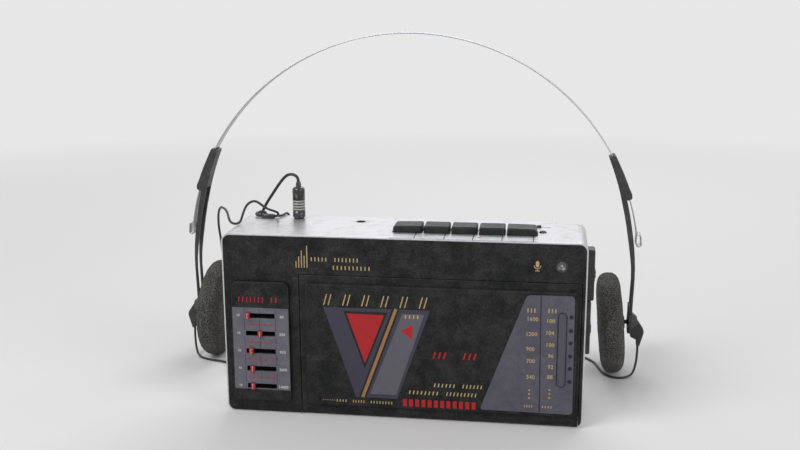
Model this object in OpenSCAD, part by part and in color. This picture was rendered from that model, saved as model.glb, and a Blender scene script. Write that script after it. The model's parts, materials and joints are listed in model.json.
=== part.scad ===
// Personal stereo cassette player with a five band equaliser, and the headphones that plug into it.
// Origin: centre of the player's base. +X right, +Y to the back, +Z up.

/* [Case] */
// Width of the case
case_w = 170; // [169:0.5:172]
// Height of the case
case_h = 88.5; // [88:0.5:90]
// Depth of the case from its front panel to the back of its rear bulge
case_d = 44; // [44:0.5:46]
// Rounding of the case's corners, seen from the front
corner_r = 4; // [3.5:0.5:5]
// Wall thickness of the two case shells
wall = 1.8; // [1.6:0.1:2]

/* [Cassette door] */
// Height of the door
door_h = 69.7; // [69:0.1:70]
// How far the door's panel stands out of the door
panel_step = 1.6; // [1:0.2:2]

/* [Keys] */
// Width of each of the three middle keys
key_w = 11.9; // [11.5:0.1:12]
// Distance from one key to the next
key_pitch = 12.9; // [12.8:0.1:13]
// Height of the keys above the case at rest
key_rise = 3.6; // [3.4:0.1:4]

/* [Equaliser] */
// Distance from one slider to the next
band_pitch = 8.8; // [8.6:0.1:8.8]
// Length of a slider's slot
slot_len = 14.3; // [14:0.1:14.4]

/* [Headphones] */
// Outer radius of the sprung headband
band_r = 120.5; // [119:0.1:122]
// Radius of a foam pad
pad_r = 26.5; // [25:0.5:27]
// Thickness of a foam pad
pad_t = 12; // [11.5:0.5:12]
// Lean of the left pad, its top inwards
left_lean = 3.5; // [3:0.5:9]
// Lean of the right pad, its top inwards
right_lean = 4.5; // [3:0.5:8]

/* [Cord] */
// Diameter of the lead between the plug and the splitter
lead_d = 1.5; // [1.4:0.1:1.6]
// Diameter of the two wires to the ears
wire_d = 1.2; // [1.1:0.1:1.2]

/* [Hidden] */
$fn = 64;
eps = 0.01;
left = -case_w/2;
right = case_w/2;
front = -case_d/2;
back = case_d/2;
split = front + 7.5;         // where the front and the rear shell meet
body_back = back - 3.5;      // back of the case beside the rear bulge
rim = 0.3;                   // how far the front panel stands out of its rim
panel_t = 0.8;

// door and its hinge
door_x0 = -47.9;
door_x1 = 82.7;
lid_t = 1.8;
hinge_r = 3.7;
hinge_y = front + hinge_r;
hinge_z = hinge_r;
hinge_len = [2.4, 4];            // left and right barrel
pin_r = 1;
raised_x = [-45, 81.2];
raised_z = [6.3, 66];
raised_front = front - panel_step;
dial_t = 0.3;
window_x = [72.6, 76.2];
window_z = [21.5, 56.3];

// equaliser
eq_x = [-80.5, -52.9];
eq_z = [6.7, 66];
eq_front = front - 1.8;
eq_plate_z = [12.5, 53.3];
slot_x0 = -74;
slot_h = 2.4;
slot_z0 = 14.2;
knob_x = [-71.1, -71, -71.4, -66.9, -72.7];   // where each knob stands, lowest band first

// keys
key_y = [-10.8, 0.4];
key_x0 = 8.9;                // middle of the gap between the first and the second key
end_key_w = 13.9;
key_foot = 80;
key_gap = key_pitch - key_w;
label_seams = [6.1, 19.8, 33, 46.2, 60.3];

// sockets and small controls in the top
phones_at = [-56, 14.8];
aux_at = [-24, 11];
aux_r = 1.8;
lamp_at = [64.5, -1.8];
mic_at = [73.4, 77.8];
dc_at = [6, 60];
dc_r = 2.8;

// mechanism, around a cassette that stands on its labelled edge
tape_x = 5.5;
tape_z = 4.7;
reel_x = 21.25;
reel_z = tape_z + 29.5;
capstan = [tape_x + 31, 61.5];
motor_at = [-26, 61.5];
flywheel_r = 13;
pulley_r = 3;
bridge_travel = 6;
roller_r = 3.5;
shaft_r = 1;
roller_at = [capstan.x, capstan.y + shaft_r + roller_r + 0.1 + bridge_travel];
plate_y = [-6.4, -5.4];
post_at = [[-47, 41], [53, 41], [-47, 72], [53, 72]];
wheel_y = [-4, -0.4];
volume_at = [77, 69.6];
volume_r = 12.4;
tuning_at = [74.2, 43];
tuning_r = 14;

// batteries
cell_r = 7.1;
cell_len = 50.4;
cell_y = 12.7;
cell_z = [11.4, 26.2];
cover_x = 52;
cover_z = [3.6, 35];

// case screws
screw_at = [[-80.4, 84], [81.2, 84.2], [-80.2, 4.8]];

// headphones
phones_x = -6.5;
phones_y = 58;
ring_z = 57.5;
band_t = 0.6;
band_w = 7;
tail_angle = 6;              // where the band's ends stop, above the ring's middle
arm_w = 9;
rail_w = 1.6;
pivot_x = 118;               // pivot of an ear cup, from the middle of the headband
pivot_gap = 10.6;            // from the middle of a pad to its pivot
boss_r = 6.4;
ball_r = 2.4;

// cord
coil_at = [-70, 48];
coil_mid_r = 9;
coil_half = [2.25, 3];          // half its width and half its height
plug_r = 3.1;
plug_z = [88.7, 104.3];
relief_top = 107;
lead_route = [
    [-56, 14.8, 107], [-56.2, 14.9, 108.3], [-56.9, 15.2, 109.4], [-58.1, 15.7, 110.1],
    [-59.7, 16.3, 110.3], [-61.6, 17, 109.9], [-63.8, 17.9, 108.4], [-66.8, 19.4, 105],
    [-70.8, 21.2, 99.6], [-74.6, 22.8, 94.2], [-77.2, 24, 89.6], [-79.2, 25.2, 84], [-80, 26.4, 74],
    [-79.6, 27, 58], [-79.2, 28, 38], [-79.6, 30, 20], [-80.4, 33.6, 8], [-81.4, 38, 2.2],
    [-82, 42.8, 0.9], [-82, 47.5, 0.8]];
return_route = [
    [-58, 48.5, 3.6], [-58.2, 43.5, 2], [-60.4, 38.2, 1.8], [-64.4, 33, 6], [-67.6, 29.6, 16],
    [-70, 27.8, 34], [-71.4, 27, 54], [-73, 26.6, 70], [-74.2, 25.4, 82], [-75.4, 23.4, 88.4],
    [-76.8, 20.6, 90.1], [-77.9, 18.2, 90], [-78.3, 16.5, 89.9], [-77.8, 15.1, 89.7],
    [-76.7, 14.1, 89.6], [-75.1, 13.6, 89.6]];
left_route = [
    [-67.9, 12.9, 89.6], [-66.8, 12.6, 89.9], [-66, 11.9, 90.6], [-65.8, 11.1, 91.4],
    [-66.1, 10.3, 92.2], [-67.1, 9.7, 92.8], [-68.5, 9.5, 93.3], [-70.6, 9.5, 94], [-73, 9.6, 95.4],
    [-74.9, 9.6, 96.8], [-76.7, 9.3, 97.7], [-78.4, 8.4, 97.6], [-79.7, 6.8, 96.8], [-80.5, 4.8, 95.4],
    [-80.8, 2.2, 93.6], [-81.1, -0.4, 91.1], [-81.3, -2.2, 89.9], [-82.1, -3.8, 89.3],
    [-83.5, -4.7, 89.3], [-85.1, -4.5, 89.9], [-86.4, -3.2, 90.9], [-87.5, -1, 91.9], [-89.2, 2.8, 93],
    [-91.8, 7.6, 93.7], [-94.6, 12, 93.5], [-97, 16.4, 92.5], [-99.2, 20.4, 90], [-100.8, 23.8, 86],
    [-101.6, 26.4, 80], [-101.4, 28.4, 72], [-100.6, 29.4, 58], [-99.4, 30.6, 36], [-99, 32.4, 16],
    [-100, 35.4, 5.4], [-103.2, 39.2, 1.3], [-109, 42, 0.6], [-116, 43.8, 0.6], [-121.4, 46.6, 0.7],
    [-124.8, 50.2, 1.6], [-127.2, 54.2, 5], [-128.5, 57.2, 10], [-128.7, 58, 14.2]];
right_route = [
    [-67.9, 14.3, 89.6], [-66.7, 14.8, 89.4], [-65.7, 16, 89.3], [-65.1, 17.8, 89.3],
    [-64.7, 19.6, 89.3], [-64.4, 21.4, 89.4], [-64.2, 22.8, 89.1], [-63.9, 24, 88.3],
    [-63.6, 24.9, 86.9], [-63.2, 25.4, 84.8], [-62.7, 25.6, 81], [-62, 25.8, 75], [-61.2, 26.2, 66],
    [-60, 26.6, 48], [-58, 27.6, 26], [-55, 29.6, 10], [-50, 33.6, 2.4], [-40, 40, 0.7], [-24, 51, 0.6],
    [0, 62, 0.6], [30, 70, 0.6], [60, 76, 0.6], [80, 77, 0.6], [88.6, 73.6, 0.6], [93.6, 66.6, 0.6],
    [95.8, 58, 0.6], [98, 50.4, 0.6], [102.6, 45.4, 0.6], [108, 45.2, 0.7], [112.4, 48.4, 1.6],
    [114.6, 53, 5], [115.6, 57, 10], [115.7, 58, 14.2]];

// ---------------------------------------------------------------- shared shapes

// outline of a rectangle with round corners, from corner p to corner q
module round_rect(p, q, r) {
    translate([p.x + r, p.y]) square([q.x - p.x - 2*r, q.y - p.y]);
    translate([p.x, p.y + r]) square([q.x - p.x, q.y - p.y - 2*r]);
    for (x = [p.x + r, q.x - r], z = [p.y + r, q.y - r]) translate([x, z]) circle(r);
}

// an outline drawn in X and Z, carried from y0 back to y1
module along_y(y0, y1) {
    translate([0, y1, 0]) rotate([90, 0, 0]) linear_extrude(y1 - y0) children();
}

module slab(p, q, y0, y1, r) {
    along_y(y0, y1) round_rect(p, q, r);
}

module block(p, q) {
    translate(p) cube(q - p);
}

module rod_y(at, r, y0, y1) {
    translate([at.x, y0, at.y]) rotate([-90, 0, 0]) cylinder(r = r, h = y1 - y0);
}

module rod_z(at, r, z0, z1) {
    translate([at.x, at.y, z0]) cylinder(r = r, h = z1 - z0);
}

module rod_x(y, z, r, x0, x1) {
    translate([x0, y, z]) rotate([0, 90, 0]) cylinder(r = r, h = x1 - x0);
}

// outline of the case, drawn inwards by a margin
module case_outline(inset) {
    round_rect([left + inset, inset], [right - inset, case_h - inset], corner_r - inset);
}

// left edge and width of key i, counted from 0 at the left
function key_left(i) = i == 0 ? key_x0 - key_gap/2 - end_key_w : key_x0 + key_gap/2 + (i - 1)*key_pitch;
function key_width(i) = i == 0 || i == 4 ? end_key_w : key_w;

// ---------------------------------------------------------------- case

module door_opening(y0, y1) {
    block([door_x0 - 0.3, y0, -1], [door_x1 + 0.3, y1, door_h + 0.3]);
}

module front_case() color("silver") difference() {
    union() {
        difference() {
            along_y(front + rim, split) case_outline(0);
            along_y(front + panel_t + wall, split + 1) case_outline(wall);
        }
        for (at = screw_at) rod_y(at, 2.4, front + 1.6, split);
        // lug that holds the left hinge pin
        block([door_x0 - 4.6, front + 1.6, 1], [door_x0 - 0.3, split - 0.2, 7.6]);
    }
    along_y(front, front + panel_t) case_outline(0.6);
    door_opening(front - 1, split + 1);
    slab([eq_x[0] - 0.2, eq_z[0] - 0.2], [eq_x[1] + 0.2, eq_z[1] + 0.2], front, split - 2.5, 3.4);
    rod_y(mic_at, 2.6, front - 1, split);
    for (at = screw_at) rod_y(at, 1.3, split - 4, split + 1);
    rod_x(hinge_y, hinge_z, pin_r, door_x0 - 4, door_x0);
    rod_x(hinge_y, hinge_z, pin_r, door_x1, right - 0.6);
}

module rear_case() color("silver") difference() {
    union() {
        difference() {
            union() {
                along_y(split, body_back) case_outline(0);
                slab([-68, 1.8], [71, case_h - 2], body_back - 1, back, 2);
                block([-68, body_back - 1, case_h - 6], [71, back, case_h]);
                // raised guards beside the two thumb wheels
                slab([right - 1.5, 57.4], [right + 3.8, 81.8], -6.2, 1.8, 0.8);
                slab([right - 1.5, 31], [right + 2.7, 57], -6.2, 1.8, 0.8);
            }
            along_y(split - 1, body_back - wall) case_outline(wall);
            slab([-66.2, 3.6], [69.2, case_h - 3], body_back - 3, back - wall, 1);
        }
        // walls of the battery bay
        difference() {
            block([-55.8, 3.4, 1], [55.8, back - wall + eps, 36.2]);
            block([-54.6, 4.6, 2.6], [54.6, back, 35]);
        }
        for (at = screw_at) rod_y(at, 2.4, split, body_back - eps);
        // posts that carry the mechanism and the circuit board
        for (at = post_at) rod_y(at, 2, plate_y[1], back - wall);
        // collar behind the power socket's hole
        rod_x(dc_at.x, dc_at.y, 4.6, left + 0.5, left + 4);
    }
    // battery opening, with a ledge for its cover
    block([-cover_x - 0.2, back - 1, cover_z[0] - 0.2], [cover_x + 0.2, back + 1, cover_z[1] + 0.2]);
    block([1 - cover_x, back - wall - eps, cover_z[0] + 0.6], [cover_x - 1, back, cover_z[1] - 1]);
    // finger notch above the battery cover
    block([-8, back - 1, cover_z[1]], [8, back + 1, cover_z[1] + 3]);
    // keys
    for (i = [0:4]) {
        block([key_left(i) - 0.2, key_y[0] - 0.2, case_h - 4],
              [key_left(i) + key_width(i) + 0.2, key_y[1] + 0.2, case_h + 1]);
    }
    rod_z(phones_at, 2.5, case_h - 5, case_h + 1);
    rod_z(aux_at, 2.5, case_h - 5, case_h + 1);
    rod_z(lamp_at, 1.9, case_h - 5, case_h + 1);
    block([61.4, 8.2, case_h - 5], [68, 9.2, case_h + 1]);
    rod_x(dc_at.x, dc_at.y, 3.4, left - 1, left + 5);
    // slots for the thumb wheels
    block([right - 6, wheel_y[0] - 0.4, 58.4], [right + 4, wheel_y[1] + 0.4, 80.8]);
    block([right - 6, wheel_y[0] - 0.4, 32], [right + 4, wheel_y[1] + 0.4, 56]);
    for (at = screw_at) {
        rod_y(at, 1.4, split - 1, body_back);
        rod_y(at, 2.5, body_back - 1.5, body_back + 1);
    }
    for (at = post_at) rod_y(at, 0.8, -6, 6);
}

module front_panel() color("#35373a") difference() {
    along_y(front, front + panel_t) case_outline(0.7);
    door_opening(front - 1, front + 2);
    slab([eq_x[0] - 0.06, eq_z[0] - 0.06], [eq_x[1] + 0.06, eq_z[1] + 0.06], front - 1, front + 2, 3.26);
    rod_y(mic_at, 2.2, front - 1, front + 2);
    // the microphone's hole opens towards the front
    translate([mic_at.x, front - eps, mic_at.y]) rotate([-90, 0, 0]) cylinder(r1 = 2.9, r2 = 2.2, h = 0.6);
}

module case_screws() color("#9a9b9d") for (at = screw_at) {
    difference() {
        rod_y(at, 2.3, body_back - 1.5, body_back - 0.2);
        block([at.x - 1.6, body_back - 0.8, at.y - 0.3], [at.x + 1.6, body_back, at.y + 0.3]);
        block([at.x - 0.3, body_back - 0.8, at.y - 1.6], [at.x + 0.3, body_back, at.y + 1.6]);
    }
    rod_y(at, 1.3, split - 3.8, body_back - 1.5);
}

// ---------------------------------------------------------------- equaliser

module band_slots(y0, y1) {
    for (i = [0:4]) {
        block([slot_x0, y0, slot_z0 + i*band_pitch - slot_h/2],
              [slot_x0 + slot_len, y1, slot_z0 + i*band_pitch + slot_h/2]);
    }
}

module equalizer_housing() color("#2f3134") difference() {
    union() {
        slab([eq_x[0], eq_z[0]], [eq_x[1], eq_z[1]], eq_front, front + 3, 3.2);
        // flange behind the front wall
        block([eq_x[0] - 1.2, front + panel_t + wall, 14], [eq_x[1] + 1.2, front + 3, 58]);
    }
    block([eq_x[0] + 1.6, front + 0.2, eq_z[0] + 2], [eq_x[1] - 1.6, front + 4, eq_z[1] - 2]);
    block([eq_x[0] + 0.2, eq_front - 1, eq_plate_z[0]], [eq_x[1] - 0.2, eq_front + 0.3, eq_plate_z[1]]);
    band_slots(eq_front - 1, front + 2);
}

module equalizer_plate() color("#8f8c99") difference() {
    block([eq_x[0] + 0.25, eq_front, eq_plate_z[0] + 0.05],
          [eq_x[1] - 0.25, eq_front + 0.3, eq_plate_z[1] - 0.05]);
    band_slots(eq_front - 1, eq_front + 1);
}

module band_knob(i) color("#c8323c") {
    z = slot_z0 + i*band_pitch;
    x = knob_x[i];
    slab([x - 1.1, z - 1.45], [x + 1.1, z + 1.45], eq_front - 1.8, eq_front - 0.15, 0.7);
    block([x - 0.6, eq_front - 0.3, z - 0.8], [x + 0.6, front + 3.6, z + 0.8]);
}

// ---------------------------------------------------------------- door

module door() color("#303236") difference() {
    union() {
        block([door_x0, front, hinge_z], [door_x1, front + lid_t, door_h]);
        // the lower edge curls round the hinge line
        intersection() {
            difference() {
                rod_x(hinge_y, hinge_z, hinge_r, door_x0, door_x1);
                rod_x(hinge_y, hinge_z, hinge_r - lid_t, door_x0 - 1, door_x1 + 1);
            }
            block([door_x0, front - 1, -1], [door_x1, hinge_y, hinge_z]);
        }
        rod_x(hinge_y, hinge_z, 3.2, door_x0, door_x0 + hinge_len[0]);
        rod_x(hinge_y, hinge_z, 3.2, door_x1 - hinge_len[1], door_x1);
    }
    for (x = [door_x0 - 1, door_x1 - 5]) rod_x(hinge_y, hinge_z, pin_r + 0.05, x, x + 6);
    block([window_x[0] - 1, front - 1, window_z[0] - 1], [window_x[1] + 1, front + 3, window_z[1] + 1]);
}

module hinge_pins() color("#b5b7ba") {
    rod_x(hinge_y, hinge_z, pin_r, door_x0 - 4, door_x0 + hinge_len[0]);
    rod_x(hinge_y, hinge_z, pin_r, door_x1 - hinge_len[1], right - 0.6);
}

module window_cut(y0, y1) {
    slab([window_x[0], window_z[0]], [window_x[1], window_z[1]], y0, y1, 1.7);
}

module door_panel() color("#2b2d30") difference() {
    slab([raised_x[0], raised_z[0]], [raised_x[1], raised_z[1]], raised_front, front, 1.4);
    window_cut(raised_front - 1, front + 1);
}

module dial_plate() color("#8f8c99") difference() {
    along_y(raised_front - dial_t, raised_front)
        polygon([[37.4, 8], [80.2, 7.6], [79.6, 64.6], [58.2, 64.4]]);
    window_cut(raised_front - 2, raised_front + 1);
}

module tape_holder() color("#4a4c50") {
    inner = front + lid_t;
    difference() {
        for (x = [tape_x - 51.2, tape_x + 51.2]) slab([x - 0.6, 8], [x + 0.6, 58], inner, -8, 0.4);
        // the rails are cut away where a hand takes the cassette out
        block([door_x0 - 1, -14, 30], [tape_x + 53, -7, 46]);
    }
    // shelf that the cassette stands on, and its back lip
    block([tape_x - 50.4, inner, tape_z - 0.8], [tape_x + 51.8, -8.4, tape_z]);
    block([tape_x - 50.4, -9.2, tape_z - eps], [tape_x + 51.8, -8.4, tape_z + 2.6]);
}

module dial_pointer() color("#c8323c") {
    y = front + lid_t + 0.3;
    z = window_z[0] + 0.4;
    block([window_x[0] + 0.3, y, z], [window_x[1] - 0.3, y + 0.8, z + 0.8]);
    // carriage that slides behind the window
    block([window_x[0] - 3, y + 0.8, z - 3], [window_x[1] + 3, y + 1.8, z + 3]);
}

// ---------------------------------------------------------------- keys

module key(i) {
    block([key_left(i), key_y[0], key_foot], [key_left(i) + key_width(i), key_y[1], case_h + key_rise]);
    // foot that works the mechanism
    mid = key_left(i) + key_width(i)/2;
    block([mid - 3, -5, key_foot - 1.2], [mid + 3, -1, key_foot + eps]);
}

module rewind_key() color("#3b3d40") key(0);
module forward_key() color("#3b3d40") key(1);
module play_key() color("#3b3d40") key(2);
module record_key() color("#3b3d40") key(3);
module stop_key() color("#3b3d40") key(4);

module key_label_strip() color("#d5d6d8") difference() {
    block([key_left(0), front + rim + 0.4, case_h],
          [key_left(4) + key_width(4) + 0.6, key_y[0] - 0.5, case_h + 0.3]);
    for (x = label_seams) block([x - 0.2, front - 1, case_h + 0.1], [x + 0.2, 0, case_h + 1]);
}

module key_springs() color("#b9bbbe") {
    block([key_left(0), 1.4, 75.1], [key_left(4) + end_key_w, 3.4, 75.5]);
    for (i = [0:4]) {
        mid = key_left(i) + key_width(i)/2;
        block([mid - 1.5, -4.6, 75.1], [mid + 1.5, 1.4 + eps, 75.5]);
    }
    // brackets to the mechanism plate
    for (x = [-4, 52]) block([x, plate_y[1], 74.4], [x + 5, 3.4, 75.1 + eps]);
}

// ---------------------------------------------------------------- tape mechanism

module mechanism_plate() color("#aeb0b3") difference() {
    block([-50, plate_y[0], 2.2], [58, plate_y[1], 75]);
    for (s = [-1, 1]) rod_y([tape_x + s*reel_x, reel_z], 1.3, -8, 0);
    rod_y(capstan, 1.3, -8, 0);
    rod_y([-10, 50], 6, -8, 0);
    rod_y([14, 52], 4, -8, 0);
    for (at = post_at) rod_y(at, 0.8, -8, 0);
}

module reel(s) {
    at = [tape_x + s*reel_x, reel_z];
    rod_y(at, 2.6, -15.5, -7.6);
    rod_y(at, 8, -7.6, -6.7);
    rod_y(at, shaft_r, -6.8, -2);
    rod_y(at, 4, -4.8, -3.4);
    // three ribs that catch the cassette's hub
    translate([at.x, 0, at.y]) for (a = [90, 210, 330]) rotate([0, a, 0])
        block([2, -14.2, -0.6], [4.2, -7.5, 0.6]);
}

module supply_reel() color("#e4e2dc") reel(-1);
module take_up_reel() color("#e4e2dc") reel(1);

module flywheel() color("#c9a24c") {
    difference() {
        rod_y(capstan, flywheel_r, 7.4, 10.4);
        translate([capstan.x, 8.9, capstan.y]) rotate([90, 0, 0]) rotate_extrude()
            translate([flywheel_r, 0]) square([1, 1.4], center = true);
    }
    rod_y(capstan, shaft_r, -17.5, 7.5);
}

module motor() color("#c2c4c7") {
    rod_y(motor_at, 11, plate_y[1], 6.8);
    rod_y(motor_at, 3.4, 6.7, 7.1);
    rod_y(motor_at, 0.75, 7.1, 11.6);
}

module motor_pulley() color("#d8b45a") difference() {
    rod_y(motor_at, pulley_r + 0.6, 7.4, 10.4);
    rod_y(motor_at, 0.8, 7, 11);
    translate([motor_at.x, 8.9, motor_at.y]) rotate([90, 0, 0]) rotate_extrude()
        translate([pulley_r + 0.6, 0]) square([1.2, 1.4], center = true);
}

module drive_belt() color("#202020") along_y(8.4, 9.4) difference() {
    hull() {
        translate(capstan) circle(flywheel_r + 0.5);
        translate(motor_at) circle(pulley_r + 0.9);
    }
    hull() {
        translate(capstan) circle(flywheel_r - 0.35);
        translate(motor_at) circle(pulley_r + 0.15);
    }
}

module head_bridge() color("#b4b6b9") {
    difference() {
        block([-34, -8.2, 70.8], [46, -7, 74.8]);
        rod_y([-30, 72.8], 1, -9, 0);
    }
    // axle of the pinch roller
    rod_y(roller_at, 0.8, -17.4, -8.1);
}

module tape_heads() color("#d9dadb") {
    for (x = [tape_x, tape_x - 20]) {
        w = x == tape_x ? 12 : 8;
        difference() {
            union() {
                block([x - w/2, -17, 70.6], [x + w/2, -8.2, 74.6]);
                // rounded face that meets the tape
                intersection() {
                    rod_y([x, 69.8 + w], w, -17, -8.2);
                    block([x - w/2, -17, 69], [x + w/2, -8.2, 70.6 + eps]);
                }
            }
            block([x - 0.2, -15.6, 69], [x + 0.2, -9.6, 70.8]);
        }
    }
}

module pinch_roller() color("#26282a") difference() {
    rod_y(roller_at, roller_r, -16.8, -9);
    rod_y(roller_at, 0.86, -18, -8);
}

// ---------------------------------------------------------------- radio and controls

module thumb_wheel(at, r) {
    difference() {
        rod_y(at, r, wheel_y[0], wheel_y[1]);
        translate([at.x, 0, at.y]) for (a = [0:10:350]) rotate([0, a, 0])
            block([r - 0.5, wheel_y[0] - 1, -0.35], [r + 1, wheel_y[1] + 1, 0.35]);
        rod_y(at, 1.56, wheel_y[0] - 1, wheel_y[1] + 1);
    }
}

module volume_wheel() color("#2b2d30") thumb_wheel(volume_at, volume_r);
module tuning_wheel() color("#2b2d30") thumb_wheel(tuning_at, tuning_r);

module mode_switch() color("#1f2022") {
    block([61.7, 8.4, case_h - 1.6], [63.5, 9, case_h + 0.4]);
    slab([61.6, case_h + 0.1], [63.6, case_h + 1], 7.7, 9.7, 0.3);
}

module lamp() color("#20242c") {
    rod_z(lamp_at, 1.8, case_h - 4.5, case_h);
    intersection() {
        translate([lamp_at.x, lamp_at.y, case_h - 0.7]) sphere(1.93);
        rod_z(lamp_at, 1.8, case_h - 0.1, case_h + 2);
    }
}

module microphone() color("#d6d7d9") {
    rod_y(mic_at, 2.1, front + 1.2, front + 6);
    intersection() {
        translate([mic_at.x, front + 2.3, mic_at.y]) sphere(2.2);
        rod_y(mic_at, 2.05, front, front + 1.4);
    }
}

// three sockets: the headphone plug's, a free one of the same size, and the power inlet
module jack_sockets() color("#1d1e20") {
    for (at = [phones_at, aux_at]) difference() {
        union() {
            rod_z(at, 3.4, 71, case_h - 3.3);
            rod_z(at, 2.4, case_h - 3.3 - eps, case_h);
        }
        rod_z(at, aux_r, 72.5, case_h + 1);
    }
    difference() {
        union() {
            rod_x(dc_at.x, dc_at.y, 3.3, left + 0.3, left + 4.2);
            rod_x(dc_at.x, dc_at.y, 4.4, left + 4.1, left + 11);
        }
        rod_x(dc_at.x, dc_at.y, dc_r, left - 1, left + 9);
    }
}

module circuit_board() color("#3f6b43") difference() {
    block([-52, 13, 38], [66, 14.4, 68]);
    for (at = post_at) rod_y(at, 2.2, 12, 16);
}

// parts on the board, slide controls, the wheels' controls, the dial's backing and the ferrite aerial
module board_parts() color("#2a2b2e") {
    for (p = [[-36, 44], [-20, 44], [4, 46], [24, 43], [44, 58]])
        block([p.x, 14.4, p.y], [p.x + 11, 16.6, p.y + 5]);
    for (p = [[-40, 56], [-30, 62], [-8, 60], [-2, 55], [10, 62], [18, 57]]) rod_y(p, 2.1, 14.4, 18.4);
    for (x = [56, 61]) rod_y([x, 46], 1.7, 14.4, 19);
    for (i = [0:4]) difference() {
        block([slot_x0 - 2.4, front + 2.9, slot_z0 + i*band_pitch - 2.6],
              [slot_x0 + slot_len + 2.4, front + 7.3, slot_z0 + i*band_pitch + 2.6]);
        block([slot_x0, front + 2, slot_z0 + i*band_pitch - slot_h/2],
              [slot_x0 + slot_len, front + 4.6, slot_z0 + i*band_pitch + slot_h/2]);
    }
    rod_y(volume_at, 1.5, -4, 1);
    rod_y(volume_at, 6, 0.4, 4.4);
    rod_y(tuning_at, 1.5, -4, 1);
    block([tuning_at.x - 8, 0.4, tuning_at.y - 8], [tuning_at.x + 8, 7.4, tuning_at.y + 8]);
    // dark backing of the dial, behind its pointer
    block([70.4, front + lid_t + 2.4, 14], [78.4, front + lid_t + 3.2, 64]);
    for (z = [14, 58]) block([78, front + lid_t + 2.4, z], [right - wall, front + lid_t + 3.2, z + 6]);
    rod_x(8, 79.6, 3, -14, 50);
    for (x = [-6, 30]) rod_x(8, 79.6, 3.8, x, x + 12);
}

// ---------------------------------------------------------------- batteries

module batteries() color("#7d8288") for (x = [-cell_len - 0.2, 0.2], z = cell_z) {
    rod_x(cell_y, z, cell_r, x, x + cell_len - 1);
    rod_x(cell_y, z, 2.7, x + cell_len - 1 - eps, x + cell_len - 0.1);
}

module battery_contacts() color("#c7c9cb") for (z = cell_z) {
    block([-54.5, cell_y - 5, z - 5], [-54.1, cell_y + 5, z + 5]);
    rod_x(cell_y, z, 3, -54.1, -cell_len - 0.3);
    block([54.1, cell_y - 5, z - 5], [54.5, cell_y + 5, z + 5]);
    rod_x(cell_y, z, 2, cell_len + 0.2, 54.1);
}

module battery_cover() color("#3b3d40") {
    block([-cover_x, back - 0.9, cover_z[0]], [cover_x, back, cover_z[1]]);
    for (z = [8:1.6:14.4]) block([-9, back - eps, z], [9, back + 0.4, z + 0.7]);
}

// ---------------------------------------------------------------- headphones

// places children, drawn for the right ear, at the right (side 1) or at the left (side -1)
module at_ear(side) {
    translate([phones_x, phones_y, 0]) {
        if (side > 0) children();
        else mirror([1, 0, 0]) children();
    }
}

// a rectangular section carried round the headband's centre line, between two angles above the middle
module ring_part(r0, r1, y0, y1, a0, a1) {
    translate([0, 0, ring_z]) rotate([90, 0, 0]) rotate([0, 0, a0])
        rotate_extrude(angle = a1 - a0, $fn = 180)
            translate([r0, -y1]) square([r1 - r0, y1 - y0]);
}

module headband() color("#a9abae") translate([phones_x, phones_y, 0]) {
    ring_part(band_r - band_t, band_r, -band_w/2, band_w/2, tail_angle + 2.35, 177.65 - tail_angle);
    // each end is turned up into a flat loop
    for (side = [0, 1]) mirror([side, 0, 0]) translate([0, 0, ring_z]) rotate([0, -tail_angle, 0])
        difference() {
            slab([band_r - 1.3, -1.4], [band_r + 1.9, 5.5], -band_w/2, band_w/2, 1.58);
            slab([band_r - 0.7, -0.8], [band_r + 1.3, 4.9], -band_w, band_w, 0.98);
        }
}

function lean(side) = side > 0 ? right_lean : left_lean;
function pivot_z(side) = pad_r + 0.1 + pivot_gap*sin(lean(side));

// side of an arm that faces the head, and the side away from it: [height, distance from the middle]
arm_inner = [
    [30, 116.7], [36, 117], [44, 117.3], [50, 117.5], [56, 117.3], [61, 116.7], [66, 116], [72, 115], [78, 114],
    [84, 112.8], [90, 111.4], [95, 110.2], [100, 108.8], [105, 107.2], [110, 105.4], [115.4, 103.3]];
arm_outer = [
    [30, 118.3], [36, 118.4], [44, 118.6], [52, 118.8], [58, 118.7], [63, 118.4], [68, 117.9], [74, 117.1],
    [80, 116.1], [86, 115], [92, 113.6], [98, 112]];
grip_outer = [
    [93.4, 113.6], [93.9, 115.1], [94.6, 115.8], [96.6, 115.6], [99.4, 114.3], [103, 112.9], [107, 111.2],
    [111, 109.3], [115, 107.4], [116.2, 106.7], [116.8, 105.9]];

// side view of an arm's piece from its inner line and its outer line
module arm_side(inner_line, outer_line, y0, y1) {
    outline = concat([for (p = inner_line) [p[1], p[0]]],
                     [for (i = [len(outer_line) - 1:-1:0]) [outer_line[i][1], outer_line[i][0]]]);
    along_y(y0, y1) polygon(outline);
}

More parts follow.
